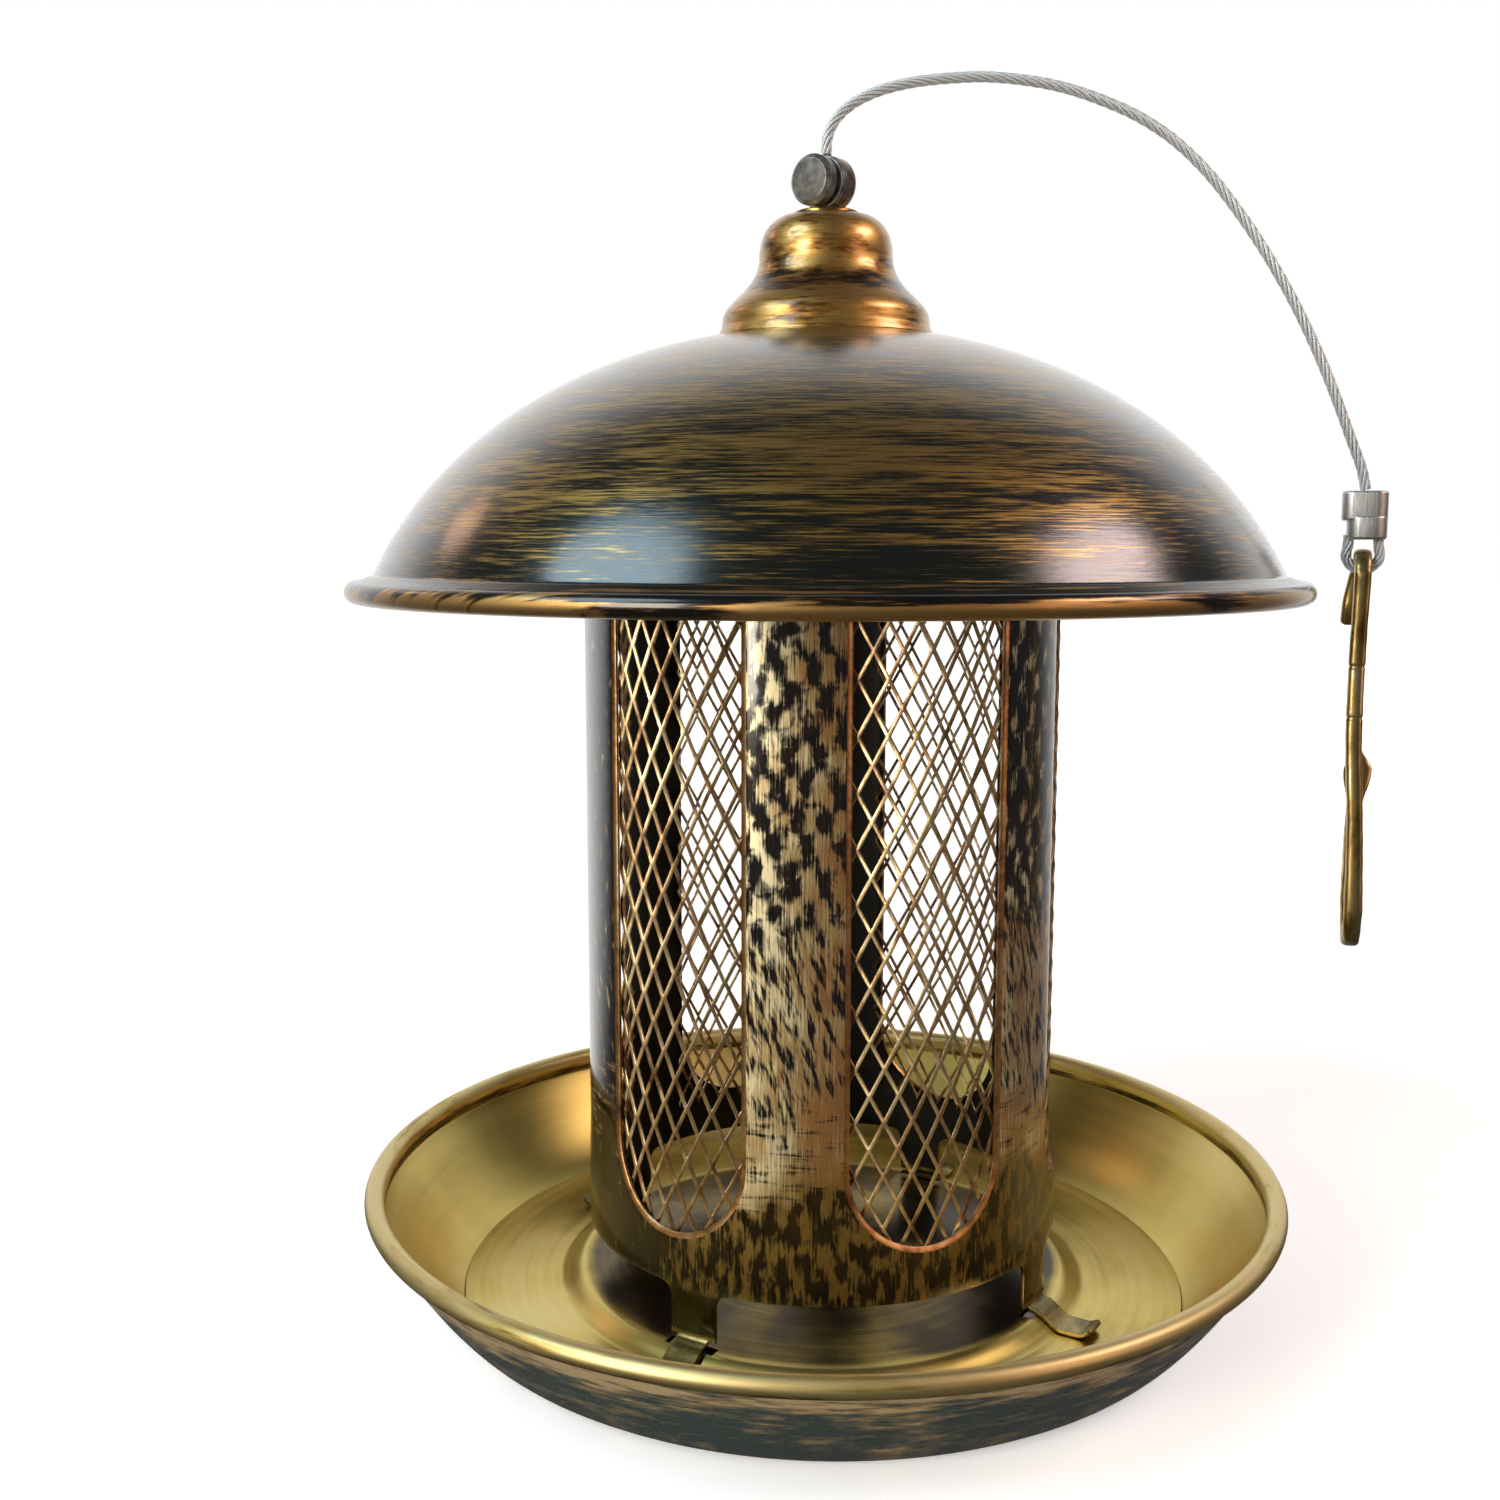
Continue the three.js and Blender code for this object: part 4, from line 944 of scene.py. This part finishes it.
def makePanel(index, bearing):
    width = shell["windowWidth"] + 2 * panel["lap"]
    height = shell["windowHeight"] + 2 * panel["lap"]
    columns, rows = round(width / (panel["cellWidth"] / 2)), round(height / (panel["cellHeight"] / 2))
    across, up = width / columns, height / rows
    slant = math.hypot(across, up)
    halfWidth, halfHeight = panel["strand"] / 2 * slant / up, panel["strand"] / 2 * slant / across
    centreZ = shell["bottom"] + shell["windowSill"] + shell["windowHeight"] / 2
    lipInside = shell["radius"] - shell["sheet"] - shell["lipDrop"]
    middle = lipInside - 0.1 - panel["thickness"] / 2 - panel["relief"] / 2
    tilt = panel["relief"] / 2 * (1 if index % 2 else -1)  # neighbouring panels are turned over
    vertices, faces, knots = [], [], {}
    for row in range(rows + 1):
        for column in range(row % 2, columns + 1, 2):
            knots[column, row] = knot = {}
            for side, du, dz, relief in (("east", halfWidth, 0, tilt), ("north", 0, halfHeight, 0),
                                         ("west", -halfWidth, 0, -tilt), ("south", 0, -halfHeight, 0)):
                angle = math.radians(bearing) + ((column - columns / 2) * across + du) / middle
                radius, z = middle + relief, centreZ + ((row - rows / 2) * up + dz)
                knot[side] = len(vertices)
                vertices.append(axisPoint(radius, angle, z))
    for (column, row), knot in knots.items():
        faces.append((knot["east"], knot["north"], knot["west"], knot["south"]))
        right, left = knots.get((column + 1, row + 1)), knots.get((column - 1, row + 1))
        if right:
            faces.append((knot["east"], right["south"], right["west"], knot["north"]))
        if left:
            faces.append((knot["north"], left["east"], left["south"], knot["west"]))
    piece = finishMesh(f"meshPanel{index + 1}", vertices, faces, strandMaterial, None, 30)
    thickenSheet(piece, panel["thickness"], panel["edgeRound"], 50, False)
    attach(piece, "root")
    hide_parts(f"mesh_panel_{index + 1}")


for index, bearing in enumerate(panel["bearings"]):
    makePanel(index, bearing)
print("mesh panels made")


# Roof

roof = {
    "radius": 106.8, "bead": 4.6, "sheet": 0.8, "halfWidth": 107.505, "rise": 84.5,
    "fullness": 2.1,  # 2 is an ellipse; more fills the shoulder
    "centre": 135.97,
    "foot": 100.6,  # where the dome ends and the rim begins
    "beadHeight": 162.91, "boltHole": 3.6, "facets": 256,
}
roofLook = {
    "streaks": (8.5, 0.55), "broad": (2.4, 5.5, 0.35), "worn": (0.4, 0.572), "metal": (0.2, 1.0),
    "colours": ("#0d1310", "#252214", "#70582b", "#b18f4b"), "rough": (0.2, 0.42), "bump": 0.2,
    "coat": (1.0, 0.1), "heavierPatinaAndShade": [("height", 186, 162, 0.075)], "coatMarks": True,
}
roofRimLook = {
    "streaks": (4.5, 1.5), "broad": (2.4, 6, 0.5), "worn": (0.39, 0.5), "metal": (0.5, 1.0),
    "colours": ("#110f0a", "#33240f", "#966f3e", "#c49d62"), "rough": (0.25, 0.46), "bump": 0.12,
    "coat": (0.7, 0.1), "heavierPatinaAndShade": [("height", 162.4, 165, 0.1)], "climb": (46.0, -32),
}
roofInsideLook = dict(
    insideLook, streaks=(4.0, 2.5), colours=("#1a150d", "#3a2d18", "#5f4a28", "#7d6437"), worn=(0.3, 0.7),
)


def domeHeight(radius, inset=0.0):
    share = radius / (roof["halfWidth"] - inset)
    return roof["centre"] + (roof["rise"] - inset) * math.sqrt(1 - share ** roof["fullness"])


def makeRoof():
    bead = roof["bead"] / 2
    beadR = roof["radius"] - bead
    steepest = math.asin(roof["foot"] / roof["halfWidth"])
    radii = [roof["halfWidth"] * math.sin(steepest * (1 - k / 44)) for k in range(44)]
    radii = [r for r in radii if r > roof["boltHole"] + 1] + [roof["boltHole"]]
    inner = [radii[0] - roof["sheet"], *radii[1:]]
    profile = arcOf(beadR, roof["beadHeight"], bead, -160, 100, 24)
    profile += [(r, domeHeight(r)) for r in radii]
    profile += [(r, domeHeight(r, roof["sheet"])) for r in reversed(inner)]
    profile = softenCorners(profile, 1.2)
    outside = makeBrushedLacquer("brushedAntiqueBronzeLacquer", roofLook)
    piece = turned("domeRoof", profile, roof["facets"], outside, "roof", sharpAngle=40)

    def zone(centre, normal):
        radius = centre.xy.length
        if normal.z < -0.05 and radius < beadR - bead + 0.2:
            return 2
        return 1 if radius > roof["foot"] + 1.4 else 0

    paintZones(piece, [
        makeBrushedLacquer("brushedBronzeRolledRim", roofRimLook),
        makeBrushedLacquer("bronzeWashRoofInside", roofInsideLook),
    ], zone)
    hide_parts("roof_dome")


makeRoof()
print("roof made")


# Finial bell and the bright flange of its hollow bolt

finial = {
    "radius": 24.5, "height": 26.2, "lip": 4.4, "lipTaper": 1.4, "neckRadius": 14.9,
    "neckHeight": 17.5, "topRadius": 10.4, "sheet": 0.8, "base": 218.55, "facets": 144,
}
finialLook = {
    "streaks": (4.0, 0.8), "broad": (2.0, 4.5, 0.55), "worn": (0.33, 0.54), "metal": (0.6, 1.0),
    "colours": ("#1f160b", "#74501f", "#ac7e3c", "#c99e58"), "rough": (0.28, 0.4), "bump": 0.12,
    "coat": (0.8, 0.14),
    "heavierPatinaAndShade": [("height", 226.4, 229.6, 0.13), ("height", 230.4, 232.6, -0.13)],  # a dark band at the neck
}


def bezier(points, steps):
    # a cubic curve without its first point
    a, b, c, d = (Vector(p) for p in points)
    return [tuple(a * (1 - t) ** 3 + b * 3 * t * (1 - t) ** 2 + c * 3 * t ** 2 * (1 - t) + d * t ** 3)
            for t in (k / steps for k in range(1, steps + 1))]


def makeFinial():
    radius, lip, top, sheet = finial["radius"], finial["lip"], finial["height"], finial["sheet"]
    neckR, neckZ, topR = finial["neckRadius"], finial["neckHeight"], finial["topRadius"]
    lipTop = radius - finial["lipTaper"]
    run, climb, crownRun, crownClimb = lipTop - neckR, neckZ - lip, neckR - topR, top - neckZ
    outside = [(radius, 0), (radius - finial["lipTaper"] * 0.8, lip / 2), (lipTop, lip)]
    outside += bezier([(lipTop, lip), (lipTop - run * 0.09, lip + climb * 0.29),
                       (neckR + run * 0.04, lip + climb * 0.47), (neckR, neckZ)], 22)
    outside += bezier([(neckR, neckZ), (neckR, neckZ + crownClimb * 0.46),
                       (neckR - crownRun * 0.29, neckZ + crownClimb * 0.82), (topR, top)], 18)
    inside = [(r - sheet, z) for r, z in outside[:-1]]
    hole = roof["boltHole"]
    profile = outside + [(hole, top), (hole, top - sheet), (topR, top - sheet)] + inside[::-1]
    profile = softenCorners([(r, z + finial["base"]) for r, z in profile], 0.5)
    lacquer = makeBrushedLacquer("brushedAntiqueGoldLacquer", finialLook)
    piece = turned("finialBell", profile, finial["facets"], lacquer, "roof", sharpAngle=40)
    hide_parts("finial_bell")


makeFinial()

bolt = {"radius": 3.2, "bore": 2.2, "flange": 7.4, "flangeHeight": 1.1, "flangeRound": 0.55, "facets": 96}
# Turned and polished brass: bright yellow metal with fine turning marks
polishedBrass = makeGrainyMetal("polishedBrass", {
    "turning": (1.5, 0.35), "detail": 3.0, "stops": [(0.3, "#a8803c"), (0.7, "#dcb468")],
    "metallic": 1.0, "roughness": 0.2, "bump": (0.1, 0.0001),
})


def makeBolt():
    low, high = (corner.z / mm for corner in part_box("hollow_bolt"))
    flangeLow, out, rounding = high - bolt["flangeHeight"], bolt["flange"], bolt["flangeRound"]
    radius, bore = bolt["radius"], bolt["bore"]
    profile = [(bore, low), (radius, low), (radius, flangeLow), (out - 0.1, flangeLow)]
    profile += arcOf(out - rounding, flangeLow + rounding, rounding, -60, 90, 8)
    profile = softenCorners(profile + [(bore + 1.3, high), (bore, high - 0.5)], 0.25)
    piece = turned(
        "flangedHollowBolt", profile, bolt["facets"], polishedBrass, "roof", sharpAngle=50
    )
    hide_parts("hollow_bolt")


makeBolt()
print("finial made")


# Push-button cable lock

lock = {
    "bearing": -38, "housing": 5.9, "front": 2.0, "length": 6.3, "stem": 3.0, "button": 5.5,
    "buttonFace": 4.5, "buttonLength": 3.2, "gap": 1.4, "rearWall": 0.8, "stemTail": 2,
    "cableHole": 1.5,  # radius
    "grooveDepth": 0.22, "springWire": 0.3, "springTurns": 2,
    "springClosed": 0.27,  # what is left of its length when the button is in
    "facets": 96,
}
lockCentre = lockTop - lock["housing"]
lockPlacing = (
    Matrix.Translation((0, 0, lockCentre)) @ Matrix.Rotation(math.radians(lock["bearing"]), 4, "Z")
    @ Matrix.Rotation(math.radians(90), 4, "X")
)


# Plated steel with a cloudy tint and a slight grain in its surface
gunmetal, zincSteel, bronzeTint = (
    makeGrainyMetal(name, {
        "grain": [1000 / grain] * 3, "detail": 4.0, "stops": [(0.32, dark), (0.68, pale)],
        "metallic": metallic, "roughness": roughness, "bump": (0.12, 0.0002),
    })
    for name, dark, pale, metallic, roughness, grain in (
        ("gunmetalPlate", "#5d5c59", "#95928c", 0.7, 0.34, 2.2),
        ("zincPlatedSteel", "#6d7073", "#a4a7a9", 1.0, 0.38, 3.0),
        ("bronzeTintedPlate", "#5f4d40", "#a58c7a", 0.85, 0.28, 2.5),
    )
)


def makeLock():
    # the housing from its rear: chamfers, a groove behind the front rim, and the bore for the stem
    rear, front, out, stem = lock["front"] - lock["length"], lock["front"], lock["housing"], lock["stem"]
    bore, boreEnd = stem + 0.3, rear + lock["rearWall"]
    groove = out - lock["grooveDepth"]
    profile = [(0, rear), (out - 1.6, rear), (out - 0.5, rear + 0.5), (out, rear + 1.5), (out, front - 1.5),
               (groove, front - 1.4), (groove, front - 1.15), (out, front - 1.05), (out, front - 0.3),
               (out - 0.3, front), (bore, front), (bore, boreEnd), (0, boreEnd)]
    housing = turned("lockHousing", softenCorners(profile, 0.5), lock["facets"], gunmetal, None,
                     lockPlacing, 40)
    hole, low, high = lock["cableHole"], lockCentre - 9, lockCentre + 9
    rod = [(0, low), (hole, low), (hole, high), (0, high)]
    cutAway(housing, turned("cutter", rod, 32, gunmetal, None))
    shadeMesh(housing.data, 40)
    facing = (lockPlacing.to_3x3() @ Vector((0, 0, 1))).normalized()
    hub = Vector((0, 0, lockCentre))
    paintZones(housing, [bronzeTint], lambda centre, normal: int((centre - hub).dot(facing) < front - 1.6))
    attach(housing, "lock")
    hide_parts("lock_housing")

    capRear, cap, tail = front + lock["gap"], lock["button"], -lock["stemTail"]
    capFront = capRear + lock["buttonLength"]
    profile = [(0, tail), (stem, tail), (stem, capRear), (cap - 0.35, capRear), (cap, capRear + 0.4),
               (cap, capFront - 0.9), (lock["buttonFace"], capFront), (0, capFront)]
    button = turned("lockButton", softenCorners(profile, 0.3), lock["facets"], gunmetal, "button",
                    lockPlacing, 50)
    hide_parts("lock_button")

    # the spring behind the stem, made at its free length; on the real lock it closes up as the button goes
    # in
    wire, steps = lock["springWire"], 16 * lock["springTurns"]
    low, high = boreEnd + wire / 2 + 0.3, tail - wire / 2 - 0.15
    coil = stem - wire
    route = []
    for k in range(steps + 1):
        angle, z = 2 * math.pi * lock["springTurns"] * k / steps, low + (high - low) * k / steps
        route.append(Vector((coil * math.cos(angle), coil * math.sin(angle), z)))
    vertices, faces = [], []
    addTube(vertices, faces, routeFrames(route, (0, 0, 1)), wire / 2, 8)
    spring = finishMesh(
        "lockSpring", [lockPlacing @ v for v in vertices], faces, zincSteel, "lock", 60
    )
    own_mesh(spring)
    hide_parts("lock_spring")


makeLock()
print("lock made")


# Ferrule: aluminium oval sleeve, pressed on the cable, with a swelled band at its foot

# Drawn aluminium tube pressed in a steel die: pale grey, matt, with upright die lines
aluminium = makeGrainyMetal("pressedAluminium", {
    "grain": (3000, 3000, 300), "detail": 4.0, "stops": [(0.25, "#b0b2b5"), (0.7, "#e2e4e6")],
    "metallic": 1.0, "roughness": 0.46, "bump": (0.16, 0.0002),
})


def makeFerrulePart(name, width, depth, low, high, shift):
    # a stadium-shaped sleeve with rounded ends
    sides, rounding = ferrule["sides"], ferrule["round"]
    levels = []
    for angle in (math.radians(90 * k / 6) for k in range(7)):
        levels.append((low + rounding * (1 - math.sin(angle)), rounding * (1 - math.cos(angle))))
    levels = sorted(levels) + [(high - (z - low), inset) for z, inset in sorted(levels, reverse=True)]
    vertices, faces = [], []
    for z, inset in levels:
        squeeze = ferrule["squeeze"] * math.sin(math.pi * (z - low) / (high - low)) ** 2
        radius = depth / 2 - (inset + squeeze)
        for angle in ringAngles(sides, 0.5):
            half = math.copysign((width - depth) / 2, math.cos(angle))
            x, y = half + radius * math.cos(angle), radius * math.sin(angle)
            vertices.append(endPlacing @ Vector((x + shift, y, z)))
    addRingFaces(faces, 0, len(levels), sides)
    piece = finishMesh(name, vertices, faces, aluminium, "lock", 50)
    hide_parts("ferrule")
    return piece


bandTop = ferruleFoot + ferrule["bandHeight"]
ferruleSleeve = makeFerrulePart(
    "ferruleSleeve", ferrule["width"], ferrule["depth"], bandTop - ferrule["bandLap"], ferruleHead, 0
)
ferruleBand = makeFerrulePart(
    "ferruleBand", ferrule["bandWidth"], ferrule["bandDepth"], ferruleFoot, bandTop, ferrule["bandShift"]
)
print("ferrule made")


# S-hook: flattened rod, hammered and curled, with a leaf at its long end

hook = {
    "width": 3.6, "thickness": 3.2, "height": 93.2,
    "upperCurl": 6, "upperTip": 16, "upperSway": 2.2, "crownSpread": 1.1,
    "lowerCurl": 11, "lowerTip": 33, "lowerSway": 2, "lowerSpread": 1.12, "pinch": 4.5,
    "shankLean": 1.2, "shankSway": (-0.4, -0.3, 0.7), "curlSway": 1.2,  # hammered, so not quite straight
    "leafWidth": 6.4, "leafThickness": 1.8,
    "collar": (24.8, 36.5, 0.5, 0.86),  # a plain length below the crown, its grooves' half width and depth
    "collarPaler": 0.09,  # the collar is coloured paler
    "ripples": ((0.012, 1.1, 0), (0.014, 0.43, 1)),  # in its width: share, turns in radians per mm, start
    "endRound": 2.5,  # length over which its ends are rounded off
    "loopGap": 0.3,
    "squareness": 3.4,  # 2 is an oval section; more squares it
    "sides": 20, "step": 0.45,
}
hookCrown = loopBottom + rope["diameter"] / 2 + hook["loopGap"] + hook["thickness"] / 2


def makeAgedBrassPlate():
    # Antique-brass plate on hammered steel: olive brown to pale gold in cloudy patches, with a paler collar
    material, add = startMaterial("antiqueBrassPlate")
    place = add("TexCoord").outputs["Object"]
    perMetre = (260, 260, 75)  # at the noise's scale, cloudy patches about 5 mm across and 17 mm long
    stretched = add("VectorMath", place, perMetre, operation="MULTIPLY")
    broad = add("TexNoise", {"Vector": stretched, "Scale": 0.8, "Detail": 5.0, "Roughness": 0.6})
    height = add("SeparateXYZ", place).outputs[2]
    top, bottom = ((hookCrown - depth) * mm for depth in hook["collar"][:2])
    collar = add("Math", height, (top + bottom) / 2, (top - bottom) / 2, operation="COMPARE")
    # the collar is made paler in colour, on top of the cloudy patches
    collarAndPatches = add("Math", collar, hook["collarPaler"], broad, operation="MULTIPLY_ADD")
    dents = add("TexVoronoi", {"Vector": place, "Scale": 1000 / 3.2}, feature="SMOOTH_F1")
    add("OutputMaterial", add("BsdfPrincipled", {
        "Base Color": add("ValToRGB", collarAndPatches, stops=[
            (0.28, "#4a3b20"), (0.42, "#8e7545"), (0.55, "#c0a76f"), (0.7, "#e0d0a4"),
        ]),
        "Metallic": 1.0,
        "Roughness": add("MapRange", broad, 0.3, 0.7, 0.42, 0.26),
        "Normal": add("Bump", {"Height": dents, "Strength": 0.14, "Distance": 0.0004}),
    }))
    return material


def hookStations():
    # [back, up, sideways, half width, half thickness] along the rod's middle line
    wide, thick, curl, bowl = hook["width"] / 2, hook["thickness"] / 2, hook["upperCurl"], hook["lowerCurl"]
    upper = hookCrown - curl
    lower = hookCrown + thick - hook["height"] + thick + bowl
    middle = bowl - curl - hook["shankLean"]
    tip = upper + curl - hook["upperTip"]
    stations = [(curl + thick / 2, tip, -hook["upperSway"], wide, thick * 0.75),
                (curl, (tip + upper) / 2, -hook["upperSway"] * 0.9, wide, thick)]
    for k, (back, up) in enumerate(arcOf(0, upper, curl, 0, 180, 8)):
        sway = max(0, 1 - k / 3) ** 2 / 2
        spread = 1 + (hook["crownSpread"] - 1) * math.sin(math.radians(180 * k / 8))
        stations.append((back, up, -hook["upperSway"] * sway, wide * spread, thick))
    for share, aside in zip((0.25, 0.5, 0.75), hook["shankSway"]):
        back, up = -curl - hook["shankLean"] * share, upper + (lower - upper) * share
        stations.append((back, up, aside, wide, thick))
    for back, up in arcOf(middle, lower, bowl, 180, 360, 10):
        stations.append((back, up, hook["curlSway"], wide * hook["lowerSpread"], thick))
    leafWide, leafThick = hook["leafWidth"] / hook["width"], hook["leafThickness"] / hook["thickness"]
    for up, pinch, sway, w, t in ((0.3, 0.45, 0.5, 1, 1), (0.6, 1, 0.6, 1, 0.9),
                                  (0.85, 0.8, 0.8, leafWide, leafThick), (1, 0.1, 1, 0.35, leafThick / 2)):
        stations.append((middle + bowl - hook["pinch"] * pinch, lower + hook["lowerTip"] * up,
                         hook["lowerSway"] * sway, wide * w, thick * t))
    return stations


def makeHook():
    stations = hookStations()
    route = smoothRoute([s[:3] for s in stations], hook["step"])
    marks = [0.0]
    for before, after in zip(stations, stations[1:]):
        marks.append(marks[-1] + math.dist(before[:3], after[:3]))
    vertices, faces, sides, last = [], [], hook["sides"], len(route) - 1
    collarTop, collarEnd, reach, depth = hook["collar"]
    for i, here in enumerate(route):
        done = i / last * marks[-1]
        k = max(j for j in range(len(marks) - 1) if marks[j] <= done + 1e-9)
        share = smoothStep(min((done - marks[k]) / (marks[k + 1] - marks[k]), 1))
        wide, thick = (stations[k][j] * (1 - share) + stations[k + 1][j] * share for j in (3, 4))
        blunt = math.sqrt(1 - (1 - min((min(i, last - i) + 0.35) / hook["endRound"], 1)) ** 2)
        along = directionAt(route, i)
        ripple = 1 + sum(high * math.sin(done * rate + shift) for high, rate, shift in hook["ripples"])
        if here.x < 0:  # on the shank
            away = min(abs(hookCrown - here.y - collarTop), abs(hookCrown - here.y - collarEnd))
            groove = depth + (1 - depth) * min(away / reach, 1)
            wide, thick = wide * groove, thick * groove
        for angle in ringAngles(sides):
            c, s, power = math.cos(angle), math.sin(angle), hook["squareness"]
            square = (abs(c) ** power + abs(s) ** power) ** (-1 / power)
            across, out = wide * c * square * blunt * ripple, thick * s * square * blunt
            back, up, side = here.x - along.y * out, here.y + along.x * out, here.z + across
            vertices.append(endPlacing @ Vector((side, back, up)))
    addRingFaces(faces, 0, len(route), sides)
    piece = finishMesh("sHook", vertices, faces, makeAgedBrassPlate(), "hook", 60)
    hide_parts("s_hook")


makeHook()
print("hook made")


# Pieces under the roof that keep their own solids

plainNodes = ("crossbar", "crossbar_rivet_1", "crossbar_rivet_2", "dome_washer", "dome_nut", "cable_stop")
for node in plainNodes:
    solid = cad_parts[node].data
    solid.materials.clear()
    solid.materials.append(aluminium if node == "cable_stop" else zincSteel)


# Floor, backdrop and lamps

studio = {
    "floor": "#f4f4f4",
    "floorSize": 6,  # from the middle to each edge, in metres
    "floorDrop": 0.0002,
    "glow": (0.55, 1.0),  # the far paper meets the backdrop without a line
    "glowRadius": (0.25, 1.2),
    # painted shadow: the paper under the dish loses its glow
    "shadeRadius": (0.075, 0.088),  # the paper is dark under the dish
    "behindCamera": 0.07, "backdrop": 1.0,
    "roomDepth": (0.34, 0.78),  # how far back along a direction the dim room turns into the backdrop
    "aim": 0.16,  # height that the lamps face
}
white = (1, 1, 1, 1)


def roomLevel(add, direction):
    # how bright the room is along a direction: dim in front of the feeder, white behind it
    depth = add("SeparateXYZ", direction).outputs[1]
    levels = (studio["behindCamera"], studio["backdrop"])
    return add("MapRange", depth, *studio["roomDepth"], *levels, **smooth)


def makeFloor():
    mesh = bpy.data.meshes.new("floor")
    far = studio["floorSize"]
    corners = ((-far, -far), (far, -far), (far, far), (-far, far))
    mesh.from_pydata([(x, y, -studio["floorDrop"]) for x, y in corners], [], [(0, 1, 2, 3)])
    material, add = startMaterial("paperFloor")
    rays = add("LightPath").outputs
    radius = axisPlace(add)[1]
    # painted shadow under the dish: no glow for the camera there, and a dark paper in reflections
    clear = add("MapRange", radius, *studio["shadeRadius"], **smooth)
    seen = add("Math", rays["Is Camera Ray"], clear, operation="MULTIPLY")
    spread = add("MapRange", radius, *studio["glowRadius"], *studio["glow"], **smooth)
    glow = add("Math", seen, spread, operation="MULTIPLY")
    paper = add("BsdfDiffuse", hexColour(studio["floor"]))
    litPaper = add("AddShader", paper, add("Emission", white, glow))
    # metal and glass mirror the paper as they mirror the room: white behind, dim in front
    mirrored = add("Math", rays["Is Glossy Ray"], rays["Is Transmission Ray"], operation="MAXIMUM")
    place = add("TexCoord").outputs["Object"]
    level = roomLevel(add, add("VectorMath", place, operation="NORMALIZE"))
    level = add("Math", level, clear, operation="MULTIPLY")
    reflection = add("Emission", white, level)
    add("OutputMaterial", add("MixShader", mirrored, litPaper, reflection))
    mesh.materials.append(material)
    linkObject("floor", mesh)


def makeWorld():
    # the camera sees white all round; the feeder mirrors a dim room with a white backdrop
    world = bpy.data.worlds.new("studio")
    bpy.context.scene.world = world
    add = startNodes(world)
    room = roomLevel(add, add("TexCoord").outputs["Generated"])
    level = add("Mix", {0: add("LightPath").outputs["Is Camera Ray"], 2: room, 3: 1.0})
    add("OutputWorld", add("Background", white, level))


# [name, bearing, elevation, distance in m, shape, width, height, power in W, colour]
lamps = [
    ("octaboxLeft", -63, 42, 1.5, "ELLIPSE", 0.84, 0.84, 10.4, "#cbe8f8"),
    ("stripLeft", -42, 8, 1.4, "RECTANGLE", 0.45, 0.9, 16.0, "#fff4e2"),
    ("softboxRight", 78, 39, 1.5, "ELLIPSE", 0.8, 0.44, 7.6, "#ffe5e0"),
    ("warmWallRight", 52, 5, 1.3, "RECTANGLE", 0.4, 0.9, 2.5, "#ffc8a0"),
    ("lampBehindLeft", -122, 29, 1.5, "ELLIPSE", 0.27, 0.24, 0.42, "#ffc6a2"),
]


def addSoftbox(name, bearing, elevation, distance, shape, width, height, power, colour):
    # a flat lamp that faces the middle of the feeder
    lamp = bpy.data.lights.new(name, "AREA")
    lamp.shape, lamp.size, lamp.size_y = shape, width, height
    lamp.energy, lamp.color = power, hexColour(colour)[:3]
    turn, rise = math.radians(bearing), math.radians(elevation)
    place = axisPoint(math.cos(rise), turn, math.sin(rise)) * distance
    holder = linkObject(name, lamp)
    holder.location = place + Vector((0, 0, studio["aim"]))
    holder.rotation_euler = (-place).to_track_quat("-Z", "Y").to_euler()


makeFloor()
makeWorld()
for lamp in lamps:
    addSoftbox(*lamp)
bpy.context.scene.view_settings.view_transform = "Standard"
print("stage and lamps made")
